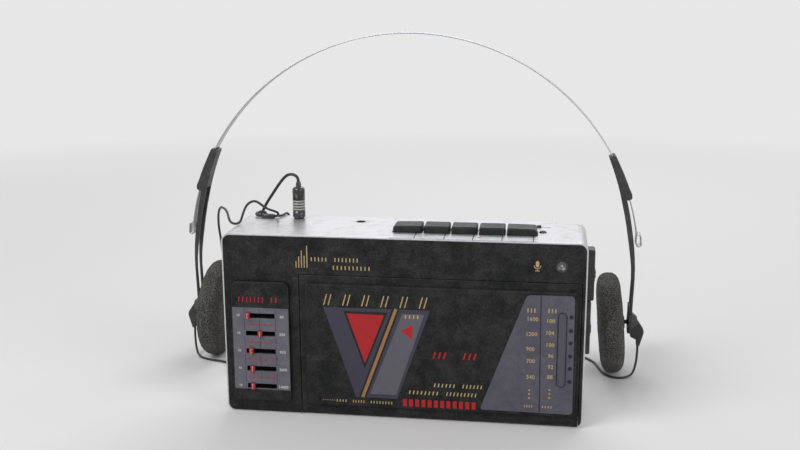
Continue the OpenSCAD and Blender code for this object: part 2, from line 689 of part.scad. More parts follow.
module arm(side) color("#1f2022") at_ear(side) {
    z = pivot_z(side);
    difference() {
        union() {
            // grip round the band
            arm_side([for (p = arm_inner) if (p[0] > 92) p], grip_outer, -arm_w/2, arm_w/2);
            // two bowed rails
            for (y = [-arm_w/2, arm_w/2 - rail_w])
                arm_side([for (p = arm_inner) if (p[0] < 102) p], [for (p = arm_outer) if (p[0] < 99) p], y, y + rail_w);
            block([pivot_x - 1.6, -arm_w/2, z], [pivot_x + 0.4, arm_w/2, 37]);
            translate([pivot_x - 1.6, 0, z]) rotate([0, 90, 0]) cylinder(r = boss_r, h = 2);
            // cap over the pivot
            translate([pivot_x + 0.3, 0, z]) rotate([0, 90, 0]) cylinder(r1 = boss_r - 0.8, r2 = 3, h = 2.9);
            // hooded entry of the wire
            along_y(-2, 2) polygon([
                [118.1, 32.4], [119.4, 31.6], [124.6, 24], [125, 22.8], [124.9, 21.4], [123, 14.4], [121.4, 14.4],
                [121.2, 18], [118.1, 19.4]]);
        }
        // channel that slides on the band
        ring_part(band_r - band_t - 0.2, band_r + 0.2, -band_w/2 - 0.25, band_w/2 + 0.25, 12, 34);
        // socket for the cup's ball
        translate([pivot_x, 0, z]) sphere(ball_r + 0.08);
        translate([pivot_x - 2.6, 0, z]) rotate([0, 90, 0]) cylinder(r = 1.9, h = 2);
    }
}

// places children, drawn round the pad's own axis along +Z with the pad's middle at 0
module on_pad(side) {
    at_ear(side) translate([pivot_x, 0, pivot_z(side)]) rotate([0, 90 - lean(side), 0])
        translate([0, 0, -pivot_gap]) children();
}

module cup(side) color("#26282a") on_pad(side) {
    difference() {
        union() {
            translate([0, 0, -1.6]) cylinder(r = 21, h = 5.4);
            translate([0, 0, 3.7]) cylinder(r = 15.6, h = 2.6);
        }
        translate([0, 0, -2]) cylinder(r = 17.5, h = 1);
    }
    translate([0, 0, 6.2]) cylinder(r1 = 5, r2 = 3, h = 1.2);
    translate([0, 0, 7.3]) cylinder(r = 1.1, h = pivot_gap - 7.5);
    translate([0, 0, pivot_gap]) sphere(ball_r);
}

module pad(side) color("#4b4b48") on_pad(side) difference() {
    round_r = pad_t/2 - 0.2;
    rotate_extrude($fn = 96) {
        square([pad_r - round_r, pad_t/2]);
        translate([0, -pad_t/2]) square([pad_r - round_r, pad_t/2 + eps]);
        intersection() {
            translate([pad_r - round_r, 0]) circle(round_r);
            translate([pad_r - round_r - 1, -pad_t]) square([round_r + 2, 2*pad_t]);
        }
    }
    translate([0, 0, -1.7]) cylinder(r = 21.1, h = 5.6);
    translate([0, 0, 3.8]) cylinder(r = 15.8, h = 4);
}

module left_arm() arm(-1);
module right_arm() arm(1);
module left_cup() cup(-1);
module right_cup() cup(1);
module left_pad() pad(-1);
module right_pad() pad(1);

// ---------------------------------------------------------------- plug and cord

module plug() color("#242629") difference() {
    union() {
        rod_z(phones_at, plug_r, plug_z[0], plug_z[1] - 1);
        translate([phones_at.x, phones_at.y, plug_z[1] - 1]) cylinder(r1 = plug_r, r2 = 1.9, h = 1);
        translate([phones_at.x, phones_at.y, plug_z[1]])
            cylinder(r1 = 1.5, r2 = 1, h = relief_top - plug_z[1]);
    }
    for (z = [93.85:1.35:96.55]) difference() {
        rod_z(phones_at, plug_r + 1, z, z + 0.55);
        rod_z(phones_at, plug_r - 0.2, z - 1, z + 2);
    }
}

module plug_pin() color("#d2c48e") {
    rod_z(phones_at, 1.75, 76.5, plug_z[0]);
    rod_z(phones_at, 1.3, 75.4, 76.5 + eps);
    translate([phones_at.x, phones_at.y, 73.6]) cylinder(r1 = 0.5, r2 = 1.6, h = 1.8 + eps);
}

module splitter() color("#1c1d1f") {
    slab([-75, case_h + 0.02], [-68, case_h + 2.1], 12.3, 14.9, 0.8);
}

// unit vector, direction along a route, and a side direction carried along it without twist
function unit(v) = v/norm(v);
function heading(p, i) = unit(p[min(i + 1, len(p) - 1)] - p[max(i - 1, 0)]);
function sides(p, i, n) = i == len(p) ? [] :
    let (t = heading(p, i), m = unit(n - (n*t)*t)) concat([m], sides(p, i + 1, m));

// eight-sided tube along the points of a route
module tube(p, d) {
    n = len(p);
    s = sides(p, 0, [0.3, 0.9, 0.2]);
    points = [for (i = [0:n - 1], k = [0:7])
        p[i] + d/2*(cos(45*k)*s[i] + sin(45*k)*cross(heading(p, i), s[i]))];
    walls = [for (i = [0:n - 2], k = [0:7]) each [
        [8*i + k, 8*i + 8 + k, 8*i + (k + 1)%8],
        [8*i + (k + 1)%8, 8*i + 8 + k, 8*i + 8 + (k + 1)%8]]];
    polyhedron(points, concat(walls, [[for (k = [0:7]) k]], [[for (k = [7:-1:0]) 8*n - 8 + k]]));
}

module lead_cord() color("#1c1d1f") tube(lead_route, lead_d);
module lead_return() color("#1c1d1f") tube(return_route, lead_d);
module left_wire() color("#1c1d1f") tube(left_route, wire_d);
module right_wire() color("#1c1d1f") tube(right_route, wire_d);

module cord_coil() color("#1c1d1f") translate([coil_at.x, coil_at.y, coil_half[1]]) rotate_extrude()
    translate([coil_mid_r - coil_half[0], -coil_half[1]]) square([2*coil_half[0], 2*coil_half[1]]);

front_case();
rear_case();
front_panel();
equalizer_housing();
equalizer_plate();
band_knob(0);  // band_knob_1
band_knob(1);  // band_knob_2
band_knob(2);  // band_knob_3
band_knob(3);  // band_knob_4
band_knob(4);  // band_knob_5
door();
door_panel();
dial_plate();
dial_pointer();
tape_holder();
hinge_pins();
record_key();
play_key();
rewind_key();
forward_key();
stop_key();
key_label_strip();
key_springs();
mechanism_plate();
supply_reel();
take_up_reel();
flywheel();
motor();
motor_pulley();
drive_belt();
head_bridge();
tape_heads();
pinch_roller();
volume_wheel();
tuning_wheel();
mode_switch();
lamp();
microphone();
jack_sockets();
circuit_board();
board_parts();
batteries();
battery_contacts();
battery_cover();
case_screws();
headband();
left_arm();
right_arm();
left_cup();
right_cup();
left_pad();
right_pad();
plug();
plug_pin();
lead_cord();
lead_return();
cord_coil();
splitter();
left_wire();
right_wire();
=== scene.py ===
# %% [markdown]
# # A pocket cassette player and the headphones plugged into it
#
# The construction is already made: shells, door, keys, reels and joints come packed from CAD in metres, with
# +X to the right, +Y to the back and the floor at Z = 0. This lesson gives every piece its looks. Each step
# says what the piece is on the real object and why it is made the way it is.

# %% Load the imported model
import json
import math

import bmesh
import bpy
import numpy as np
from mathutils import Matrix, Vector

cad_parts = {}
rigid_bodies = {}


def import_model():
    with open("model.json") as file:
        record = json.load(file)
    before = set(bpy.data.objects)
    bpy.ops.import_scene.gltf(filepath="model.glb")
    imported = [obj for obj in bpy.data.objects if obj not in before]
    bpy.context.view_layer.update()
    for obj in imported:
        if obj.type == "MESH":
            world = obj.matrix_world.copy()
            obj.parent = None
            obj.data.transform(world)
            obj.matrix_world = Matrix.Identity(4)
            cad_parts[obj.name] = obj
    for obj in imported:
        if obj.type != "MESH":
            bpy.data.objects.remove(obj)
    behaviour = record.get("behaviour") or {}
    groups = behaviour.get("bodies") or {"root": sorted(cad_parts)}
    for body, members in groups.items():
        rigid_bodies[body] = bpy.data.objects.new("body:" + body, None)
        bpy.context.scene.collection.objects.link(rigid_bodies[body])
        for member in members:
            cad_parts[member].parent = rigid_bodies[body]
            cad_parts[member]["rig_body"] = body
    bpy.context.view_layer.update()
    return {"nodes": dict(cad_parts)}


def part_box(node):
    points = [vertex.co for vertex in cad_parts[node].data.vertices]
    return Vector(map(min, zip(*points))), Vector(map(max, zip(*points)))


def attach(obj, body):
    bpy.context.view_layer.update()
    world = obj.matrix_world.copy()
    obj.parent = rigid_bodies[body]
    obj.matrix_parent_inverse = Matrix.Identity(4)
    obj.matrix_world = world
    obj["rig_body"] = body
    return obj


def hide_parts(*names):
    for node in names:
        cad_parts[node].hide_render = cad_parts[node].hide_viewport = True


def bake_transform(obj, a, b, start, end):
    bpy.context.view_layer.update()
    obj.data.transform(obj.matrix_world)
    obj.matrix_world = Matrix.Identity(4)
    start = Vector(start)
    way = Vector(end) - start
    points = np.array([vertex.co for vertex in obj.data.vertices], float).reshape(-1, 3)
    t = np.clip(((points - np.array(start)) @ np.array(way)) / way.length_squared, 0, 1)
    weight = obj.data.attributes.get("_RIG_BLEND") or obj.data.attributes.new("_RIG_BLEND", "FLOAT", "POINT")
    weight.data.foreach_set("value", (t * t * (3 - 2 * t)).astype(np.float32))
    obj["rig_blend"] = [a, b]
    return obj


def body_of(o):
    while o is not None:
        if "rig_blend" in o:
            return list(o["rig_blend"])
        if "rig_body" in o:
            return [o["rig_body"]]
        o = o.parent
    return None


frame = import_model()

MM = 0.001                       # the shapes below are written in millimetres


def corners(node):
    """Lowest and highest corner of a CAD node, in millimetres."""
    return tuple(np.array(corner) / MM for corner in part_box(node))


def middle_of(node):
    """Middle of a CAD node's box, in millimetres."""
    return sum(corners(node)) / 2


def show(name, data):
    """A new object that stands in the scene."""
    holder = bpy.data.objects.new(name, data)
    bpy.context.scene.collection.objects.link(holder)
    return holder


# %% [markdown]
# ## Camera
#
# The player is seen from a little to the right and from above, through a lens slightly longer than normal.
# The camera is turned in three plain steps, yaw, pitch and roll, so each angle can be read and changed alone.

# %% Camera
YAW, PITCH, ROLL = (math.radians(a) for a in (8.18, 12.88, -0.26))
CAMERA_AT, FOCAL_LENGTH, SENSOR_WIDTH = (0.0653, -0.4765, 0.1999), 46.55, 36
camera = show("camera", bpy.data.cameras.new("camera"))
camera.data.sensor_width, camera.data.lens = SENSOR_WIDTH, FOCAL_LENGTH
camera.matrix_world = (
    Matrix.Translation(CAMERA_AT)
    @ Matrix.Rotation(YAW, 4, "Z")
    @ Matrix.Rotation(math.pi / 2 - PITCH, 4, "X")
    @ Matrix.Rotation(ROLL, 4, "Z")
)
camera.data.clip_start, camera.data.clip_end = 0.01, 20
bpy.context.scene.camera = camera
print("camera stands", round(camera.location.length, 3), "m from the player's base")

# %% [markdown]
# ## Nodes in a few words
#
# Every finish below is a small graph of nodes. These helpers add a node, link what is a socket and set what
# is a plain value, so that a finish reads as a short list of what it is made of.


# %% Shader helpers
def new_finish(name):
    """An empty finish: its material and its node tree."""
    material = bpy.data.materials.new(name)
    material.use_nodes = True
    return material, material.node_tree


def put(tree, plug, value):
    """Link what is a socket to the plug, and set what is a plain value on it."""
    if isinstance(value, bpy.types.NodeSocket):
        tree.links.new(value, plug)
    else:
        plug.default_value = value


def add(tree, kind, settings=None, **inputs):
    """Add one node and fill its inputs by name; i0, i1 and so on stand for an input's number."""
    made = tree.nodes.new("ShaderNode" + kind)
    for key, value in (settings or {}).items():
        setattr(made, key, value)
    for key, value in inputs.items():
        put(tree, made.inputs[int(key[1:]) if key[0] == "i" and key[1:].isdigit() else key], value)
    return made


def filled(material, **inputs):
    """The finish with its main shader's sockets filled; an underscore in a name stands for a space."""
    tree = material.node_tree
    for key, value in inputs.items():
        put(tree, tree.nodes["Principled BSDF"].inputs[key.replace("_", " ")], value)
    return material


def rgb(*colour):
    """A colour with full opacity, from one grey or three values."""
    return (*(colour if len(colour) == 3 else colour * 3), 1)


def place(tree, stretch=(1, 1, 1), turn=(0, 0, 0)):
    """Coordinates on the object in millimetres, stretched and turned if asked."""
    coords = add(tree, "TexCoord").outputs["Object"]
    scale = tuple(s / MM for s in stretch)
    return add(tree, "Mapping", Vector=coords, Scale=scale, Rotation=turn).outputs["Vector"]


def noise(tree, where, size, detail=4, rough=0.55, warp=0.0):
    """Cloudy noise from 0 to 1 with patches of about this size in millimetres."""
    return add(tree, "TexNoise", Vector=where, Scale=1 / size, Detail=detail, Roughness=rough,
               Distortion=warp).outputs["Fac"]


def remap(tree, value, low, high, to_low=0.0, to_high=1.0):
    """Stretch low..high onto to_low..to_high and cut off what lies beyond."""
    return add(tree, "MapRange", i0=value, i1=low, i2=high, i3=to_low, i4=to_high).outputs["Result"]


def maths(tree, operation, a, b=0.0):
    """One arithmetic step between two values."""
    return add(tree, "Math", {"operation": operation}, i0=a, i1=b).outputs["Value"]


def weighted(tree, *parts):
    """Sum of values, each times its own weight."""
    total = 0.0
    for value, weight in parts:
        total = maths(tree, "ADD", maths(tree, "MULTIPLY", value, weight), total)
    return total


def blend(tree, share, a, b):
    """Colour a where share is 0, colour b where it is 1."""
    return add(tree, "Mix", {"data_type": "RGBA"}, Factor=share, i6=a, i7=b).outputs[2]


def relief(tree, height, depth):
    """Bump of this depth in millimetres."""
    return add(tree, "Bump", Height=height, Distance=depth * MM).outputs["Normal"]


print("helpers ready")

# %% [markdown]
# ## Moulded and painted finishes
#
# Most of the player is one family of finish: a moulded or painted skin with cloudy handling marks, short
# scratches and edges rubbed lighter. One function builds the whole family. Patches of noise mix two colours
# and move the roughness, stretched noise with a high cut-off gives scratches, and the difference between the
# true normal and a rounded one finds the edges.


# %% Worn skin
def worn_skin(name, colour, cloud, cloud_size, rough, metal, grain, dust=None, dust_size=0.5,
              dust_edge=(0.74, 0.86), scratch=0.0, scratch_colour=None, rub=None, rub_width=0.3, **values):
    """Skin of two clouded colours with grain, dust, scratches and rubbed edges.

    The share of the cloud colour is large noise, mottle a fifth as large and a little grain. Dust is small
    noise that passes a level, and the level is lower where the large noise is high. Scratches are noise
    squeezed to thin streaks in two directions, kept only where a third noise is high."""
    material, tree = new_finish(name)
    where = place(tree)
    large = noise(tree, where, cloud_size, 5, 0.6, 0.3)
    mottle = noise(tree, where, cloud_size / 5, 3, 0.6)
    fine = noise(tree, where, grain[0], 3, 0.6)
    mixed = weighted(tree, (large, 0.5), (mottle, 0.32), (fine, 0.18))
    share = remap(tree, mixed, 0.42, 0.6)
    base = blend(tree, share, rgb(*colour), rgb(*cloud))
    roughness = remap(tree, mixed, 0.4, 0.62, rough[1], rough[0])
    if dust:
        specks = weighted(tree, (noise(tree, where, dust_size, 2, 0.5), 1), (large, 0.3))
        base = blend(tree, remap(tree, specks, *dust_edge, 0, 0.75), base, rgb(*dust))
    if scratch:
        ways = [place(tree, (0.045, 1, 1), (0, turn, 0)) for turn in (0.5, -0.9)]
        streaks = [remap(tree, noise(tree, way, 0.42, 2, 0.5), 0.68, 0.73) for way in ways]
        gate = remap(tree, noise(tree, where, 6.5, 2), 0.5, 0.62, 0, scratch)
        lines = maths(tree, "MULTIPLY", maths(tree, "MAXIMUM", *streaks), gate)
        base = blend(tree, lines, base, rgb(*scratch_colour))
    if rub:
        rounded = add(tree, "Bevel", {"samples": 4}, Radius=rub_width * MM).outputs["Normal"]
        normal = add(tree, "NewGeometry").outputs["Normal"]
        dot = add(tree, "VectorMath", {"operation": "DOT_PRODUCT"}, i0=rounded, i1=normal).outputs["Value"]
        edge = remap(tree, weighted(tree, (dot, 1), (large, -0.06)), 0.9, 0.955, 1, 0)
        base = blend(tree, edge, base, rgb(*rub))
    return filled(material, Base_Color=base, Roughness=roughness, Metallic=metal,
                  Normal=relief(tree, fine, grain[1]), **values)


SILVER = worn_skin("silver_paint", (0.59, 0.59, 0.615), (0.71, 0.71, 0.735), 13, (0.28, 0.4), 0.7,
                   (0.12, 0.003), (0.45, 0.44, 0.46), 4.5, (0.64, 1.0))
CHARCOAL = worn_skin("charcoal_plastic", (0.0065, 0.0072, 0.0072), (0.025, 0.026, 0.025), 6.5,
                     (0.42, 0.62), 0, (0.25, 0.03), (0.058, 0.058, 0.052), 0.42, scratch=0.5,
                     scratch_colour=(0.07, 0.07, 0.066), rub=(0.085, 0.085, 0.08), rub_width=0.25,
                     Specular_IOR_Level=0.2)
KEY_BLACK = worn_skin("key_plastic", (0.010, 0.011, 0.012), (0.028, 0.030, 0.030), 4.5, (0.36, 0.52), 0,
                      (0.2, 0.012), (0.06, 0.06, 0.055), 0.4, scratch=0.4, scratch_colour=(0.09, 0.09, 0.08),
                      rub=(0.09, 0.09, 0.085), Specular_IOR_Level=0.22)
BLACK = worn_skin("black_plastic", (0.012, 0.012, 0.013), (0.03, 0.03, 0.032), 6, (0.3, 0.46), 0,
                  (0.2, 0.01), (0.05, 0.05, 0.05), 0.35)
ARM_GREY = worn_skin("arm_plastic", (0.021, 0.021, 0.021), (0.044, 0.044, 0.042), 6, (0.42, 0.6), 0,
                     (0.3, 0.02), (0.085, 0.085, 0.08), 0.4, rub=(0.10, 0.10, 0.095), rub_width=0.25)
GLOSS_BLACK = worn_skin("gloss_black", (0.012, 0.013, 0.016), (0.02, 0.021, 0.024), 4, (0.12, 0.24), 0,
                        (0.2, 0.002), Coat_Weight=0.4, Coat_Roughness=0.12)
GREY_VIOLET = worn_skin("grey_violet_film", (0.078, 0.074, 0.097), (0.112, 0.106, 0.132), 14, (0.36, 0.5), 0,
                        (0.25, 0.006), (0.06, 0.056, 0.07), 0.8, Specular_IOR_Level=0.35)
# Painted light: the same grey-violet film as the dial, made lighter for the equaliser's plate because that
# plate stands more in the light.
VIOLET_FILM_PAINTED_LIT = worn_skin("violet_film_painted_lit", (0.115, 0.11, 0.14), (0.158, 0.15, 0.182), 9, (0.36, 0.5), 0,
                         (0.25, 0.006), (0.08, 0.075, 0.09), 0.7, Specular_IOR_Level=0.35)
RED = worn_skin("red_plastic", (0.30, 0.008, 0.012), (0.44, 0.016, 0.02), 1.6, (0.25, 0.4), 0, (0.2, 0.006),
                Coat_Weight=0.2)
BRASS = worn_skin("turned_brass", (0.62, 0.44, 0.18), (0.76, 0.58, 0.28), 3, (0.2, 0.38), 1, (0.1, 0.003))
ZINC = worn_skin("zinc_plate", (0.50, 0.51, 0.53), (0.66, 0.66, 0.66), 4, (0.28, 0.5), 1, (0.15, 0.004))
STEEL = worn_skin("spring_steel", (0.44, 0.45, 0.47), (0.50, 0.51, 0.53), 14, (0.34, 0.42), 1, (2.5, 0.0008))
CREAM = worn_skin("cream_acetal", (0.70, 0.67, 0.58), (0.80, 0.77, 0.69), 3, (0.35, 0.5), 0, (0.2, 0.004))
GREEN = worn_skin("board_lacquer", (0.02, 0.11, 0.04), (0.04, 0.17, 0.06), 3, (0.25, 0.4), 0, (0.4, 0.02))
CELL = worn_skin("cell_sleeve", (0.16, 0.18, 0.21), (0.22, 0.24, 0.27), 5, (0.25, 0.4), 0.3, (0.2, 0.003))
RUBBER = worn_skin("rubber", (0.012, 0.012, 0.012), (0.03, 0.03, 0.03), 2, (0.6, 0.8), 0, (0.15, 0.02))
LENS = worn_skin("lamp_lens", (0.006, 0.007, 0.02), (0.012, 0.014, 0.035), 1, (0.05, 0.12), 0, (0.2, 0.0),
                 Coat_Weight=0.6)
print(len(bpy.data.materials), "finishes")

# %% [markdown]
# ## Surfaces from numbers
#
# New pieces are grids of points: rows along the piece, columns round or across it. Each point is joined to
# its neighbours. A ring's last column meets its first one, and an open end gets a cap, so every piece is a
# closed skin.


# %% Grids into meshes
def arc(centre, radius, start, end, count):
    """Points on a circle between two angles in degrees."""
    angle = np.radians(np.linspace(start, end, count))
    return np.stack([centre[0] + radius * np.cos(angle), centre[1] + radius * np.sin(angle)], -1)


def unit(vectors):
    """The same directions, each with a length of one."""
    return vectors / np.maximum(np.linalg.norm(vectors, axis=-1, keepdims=True), 1e-9)


def points_of(x, y, z):
    """Points from X, Y and Z, each of them a grid, a row, a column or a single value."""
    return np.stack(np.broadcast_arrays(x, y, z), -1)


def eased(share):
    """S-curve from 0 to 1 that starts and ends level: three times the square less twice the cube."""
    return share * share * (3 - 2 * share)


def skin(points, faces):
    """A closed skin with its faces outwards.

    Its volume is the sum of the pyramids from the middle to each face; below zero, the faces turn round."""
    fans = [(face[0], face[k], face[k + 1]) for face in faces for k in range(1, len(face) - 1)]
    a, b, c = ((points - points.mean(0))[list(column)] for column in zip(*fans))
    inside_out = np.einsum("ij,ij->i", a, np.cross(b, c)).sum() < 0
    return points, [face[::-1] for face in faces] if inside_out else faces


def capped(rings):
    """A closed tube of rings: four-sided faces between them, and a fan to a middle point at each end."""
    rows, columns, _ = rings.shape
    points = np.concatenate([rings.reshape(-1, 3), rings[:1].mean(1), rings[-1:].mean(1)])
    here = np.arange(rows * columns).reshape(rows, columns)
    there = np.roll(here, -1, 1)
    sides = np.stack([here[:-1], there[:-1], there[1:], here[1:]], -1).reshape(-1, 4)
    low = np.stack([np.full(columns, rows * columns), there[0], here[0]], -1)
    high = np.stack([np.full(columns, rows * columns + 1), here[-1], there[-1]], -1)
    return skin(points, [*sides.tolist(), *low.tolist(), *high.tolist()])


def second_finish(rings, where, last_cap=0):
    """A tube's marks: 1 on side faces where this is true, 0 on the rest, and the last cap's own number."""
    rows, columns, _ = rings.shape
    sides = np.broadcast_to(where, (rows - 1, columns)).astype(int).ravel()
    return [*sides.tolist(), *[0] * columns, *[last_cap] * columns]


def paint(mesh, finish, marks=None, smooth=True):
    """Give a mesh its finish, or several of them and the number of each face's own in marks."""
    mesh.materials.clear()
    for one in (finish if isinstance(finish, list) else [finish]):
        mesh.materials.append(one)
    mesh.polygons.foreach_set("material_index", marks or [0] * len(mesh.polygons))
    mesh.polygons.foreach_set("use_smooth", [smooth] * len(mesh.polygons))


def mesh_piece(name, points, faces, finish, body, slot, nodes=(), smooth=True, marks=None):
    """A finished piece from points in millimetres and faces. It rides a body, or none if it will be bent."""
    mesh = bpy.data.meshes.new(name)
    mesh.from_pydata((points * MM).tolist(), [], faces)
    paint(mesh, finish, marks, smooth)
    mesh.validate()
    piece = show(name, mesh)
    if nodes:
        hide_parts(*nodes)
    if body:
        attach(piece, body)
    return piece
# %% [markdown]
# ## Cords
#
# A thin lead leaves the plug, arches over the back edge and falls behind the player. The length that is out
# of sight is wound into a small round coil on the floor, and the lead comes back up to a splitter that lies
# on the case's top. Two finer wires run from there to the ears. A cord is a curve through listed points;
# only the coil's turns are worked out, because a coil follows a rule.

# %% Routes, in millimetres
LEAD_ROUTE = [
    (-56, 14.8, 107), (-56.2, 14.9, 108.3), (-56.9, 15.2, 109.4), (-58.1, 15.7, 110.1), (-59.7, 16.3, 110.3),
    (-61.6, 17, 109.9), (-63.8, 17.9, 108.4), (-66.8, 19.4, 105), (-70.8, 21.2, 99.6), (-74.6, 22.8, 94.2),
    (-77.2, 24, 89.6), (-79.2, 25.2, 84), (-80, 26.4, 74), (-79.6, 27, 58), (-79.2, 28, 38), (-79.6, 30, 20),
    (-80.4, 33.6, 8), (-81.4, 38, 2.2), (-82, 42.8, 0.9), (-82, 47.5, 0.8)]
RETURN_ROUTE = [
    (-58, 48.5, 3.6), (-58.2, 43.5, 2), (-60.4, 38.2, 1.8), (-64.4, 33, 6), (-67.6, 29.6, 16),
    (-70, 27.8, 34), (-71.4, 27, 54), (-73, 26.6, 70), (-74.2, 25.4, 82), (-75.4, 23.4, 88.4),
    (-76.8, 20.6, 90.1), (-77.9, 18.2, 90), (-78.3, 16.5, 89.9), (-77.8, 15.1, 89.7), (-76.7, 14.1, 89.6),
    (-75.1, 13.6, 89.6)]
LEFT_ROUTE = [
    (-67.9, 12.9, 89.6), (-66.8, 12.6, 89.9), (-66, 11.9, 90.6), (-65.8, 11.1, 91.4), (-66.1, 10.3, 92.2),
    (-67.1, 9.7, 92.8), (-68.5, 9.5, 93.3), (-70.6, 9.5, 94), (-73, 9.6, 95.4), (-74.9, 9.6, 96.8),
    (-76.7, 9.3, 97.7), (-78.4, 8.4, 97.6), (-79.7, 6.8, 96.8), (-80.5, 4.8, 95.4), (-80.8, 2.2, 93.6),
    (-81.1, -0.4, 91.1), (-81.3, -2.2, 89.9), (-82.1, -3.8, 89.3), (-83.5, -4.7, 89.3), (-85.1, -4.5, 89.9),
    (-86.4, -3.2, 90.9), (-87.5, -1, 91.9), (-89.2, 2.8, 93), (-91.8, 7.6, 93.7), (-94.6, 12, 93.5),
    (-97, 16.4, 92.5), (-99.2, 20.4, 90), (-100.8, 23.8, 86), (-101.6, 26.4, 80), (-101.4, 28.4, 72),
    (-100.6, 29.4, 58), (-99.4, 30.6, 36), (-99, 32.4, 16), (-100, 35.4, 5.4), (-103.2, 39.2, 1.3),
    (-109, 42, 0.6), (-116, 43.8, 0.6), (-121.4, 46.6, 0.7), (-124.8, 50.2, 1.6), (-127.2, 54.2, 5),
    (-128.5, 57.2, 10), (-128.7, 58, 14.2)]
RIGHT_ROUTE = [
    (-67.9, 14.3, 89.6), (-66.7, 14.8, 89.4), (-65.7, 16, 89.3), (-65.1, 17.8, 89.3), (-64.7, 19.6, 89.3),
    (-64.4, 21.4, 89.4), (-64.2, 22.8, 89.1), (-63.9, 24, 88.3), (-63.6, 24.9, 86.9), (-63.2, 25.4, 84.8),
    (-62.7, 25.6, 81), (-62, 25.8, 75), (-61.2, 26.2, 66), (-60, 26.6, 48), (-58, 27.6, 26), (-55, 29.6, 10),
    (-50, 33.6, 2.4), (-40, 40, 0.7), (-24, 51, 0.6), (0, 62, 0.6), (30, 70, 0.6), (60, 76, 0.6),
    (80, 77, 0.6), (88.6, 73.6, 0.6), (93.6, 66.6, 0.6), (95.8, 58, 0.6), (98, 50.4, 0.6), (102.6, 45.4, 0.6),
    (108, 45.2, 0.7), (112.4, 48.4, 1.6), (114.6, 53, 5), (115.6, 57, 10), (115.7, 58, 14.2)]
LEAD_D, WIRE_D, CORD_STEP, CORD_SIDES = 1.5, 1.2, 0.8, 10
COIL_X, COIL_Y, COIL_R, COIL_TURNS, LAYER_TURNS, POINTS_PER_TURN = -70, 48, 10.5, 11.5, 3, 24
FIRST_LAYER_Z, EXIT_Z, ENTRY_R = 0.76, 3.6, 12.0       # lowest layer, and where the cord joins and leaves
STEP_SHARE, ENTRY_SHARE, CLIMB_SWING = 0.28, 0.25, 0.55     # shares of a turn, and millimetres of swing


def coil_route():
    """Points of the coil, clockwise from its left side to its right side.

    The winding goes in and out again layer by layer: three turns side by side, then one diameter up. Radius
    and height stay level round most of a turn and step over a short stretch at the same side."""
    turn = np.linspace(0, COIL_TURNS, int(COIL_TURNS * POINTS_PER_TURN) + 1)[1:-1]
    after = np.floor(turn + STEP_SHARE / 2).astype(int)
    before = np.maximum(after - 1, 0)
    step = eased(np.clip((turn + STEP_SHARE / 2 - after) / STEP_SHARE, 0, 1))
    layer, lane = np.divmod(np.arange(int(COIL_TURNS) + 2), LAYER_TURNS)
    lane = np.where(layer % 2 == 0, lane, LAYER_TURNS - 1 - lane)
    radius, height = (level[before] * (1 - step) + level[after] * step
                      for level in (COIL_R - LEAD_D * lane, FIRST_LAYER_Z + LEAD_D * layer))
    outward = np.where(layer[after] % 2 == 0, 1, -1)
    radius += (layer[before] != layer[after]) * outward * CLIMB_SWING * np.sin(np.pi * step)
    arrive, leave = (np.clip(turns / ENTRY_SHARE, 0, 1) for turns in (turn, COIL_TURNS - turn))
    radius = ENTRY_R + (radius - ENTRY_R) * arrive * leave
    height = EXIT_Z + (height - EXIT_Z) * leave
    angle = np.pi - 2 * np.pi * turn
    return points_of(COIL_X + radius * np.cos(angle), COIL_Y + radius * np.sin(angle), height)


coil = coil_route()
lead_points = np.concatenate([LEAD_ROUTE, coil, RETURN_ROUTE])
print("lead has", len(lead_points), "points, of which", len(coil), "are in the coil")


# %% Sleeve of a cord
def cord_sleeve(name):
    """Satin rubber with cloudy grime and a fine grain that also moves its shine."""
    material, tree = new_finish(name)
    where = place(tree)
    fine = noise(tree, where, 0.25, 2)
    grime = remap(tree, noise(tree, where, 3.5), 0.4, 0.7)
    return filled(material, Base_Color=blend(tree, grime, rgb(0.010, 0.010, 0.011), rgb(0.035)),
                  Roughness=remap(tree, fine, 0.3, 0.7, 0.38, 0.6), Normal=relief(tree, fine, 0.01))


def walked_along(line):
    """Length of the way to each point: the straight distances so far, added up."""
    return np.concatenate([[0], np.cumsum(np.linalg.norm(np.diff(line, axis=0), axis=1))])


def even_steps(line, step, whole=round):
    """The same line in equal steps of its own length; whole says how their number is made whole."""
    walked = walked_along(line)
    even = np.linspace(0, walked[-1], int(whole(walked[-1] / step)) + 1)
    return np.stack([np.interp(even, walked, column) for column in line.T], -1)


def smooth_path(points):
    """Even steps along a smooth curve through the points.

    Between two points it is the cubic that leaves each one along the line joining its neighbours
    (Catmull-Rom), sampled finely and then walked again in equal lengths."""
    p = np.asarray(points, float)
    ends = np.concatenate([[2 * p[0] - p[1]], p, [2 * p[-1] - p[-2]]])
    a, b, c, d = ends[:-3, None], ends[1:-2, None], ends[2:-1, None], ends[3:, None]
    t = np.linspace(0, 1, 25)[None, :-1, None]
    curve = b + 0.5 * t * (c - a + t * (2 * a - 5 * b + 4 * c - d + t * (3 * (b - c) + d - a)))
    return even_steps(np.concatenate([curve.reshape(-1, 3), p[-1:]]), CORD_STEP)


def tube_grid(path, radius):
    """Rings of points round a path.

    The first ring has any side direction. Each next one keeps the last direction, less its part along the
    new tangent, so the rings don't twist."""
    tangent = unit(np.gradient(path, axis=0))
    side = [np.cross(tangent[0], (0.3, 0.2, 0.9))]
    for forward in tangent:
        side.append(unit(side[-1] - forward * np.dot(side[-1], forward)))
    side = np.array(side[1:])
    other = np.cross(tangent, side)
    angle = np.linspace(0, 2 * np.pi, CORD_SIDES, endpoint=False)[:, None]
    return path[:, None] + radius * (side[:, None] * np.cos(angle) + other[:, None] * np.sin(angle))


CORD_BLACK = cord_sleeve("cord_rubber")
print("sleeve ready")

# %% [markdown]
# The plug and the splitter are rigid and ride where CAD put them. Each cord is fixed at both ends, so where
# one end moves, as the plug does when it is pulled, the cord bends between the two bodies.


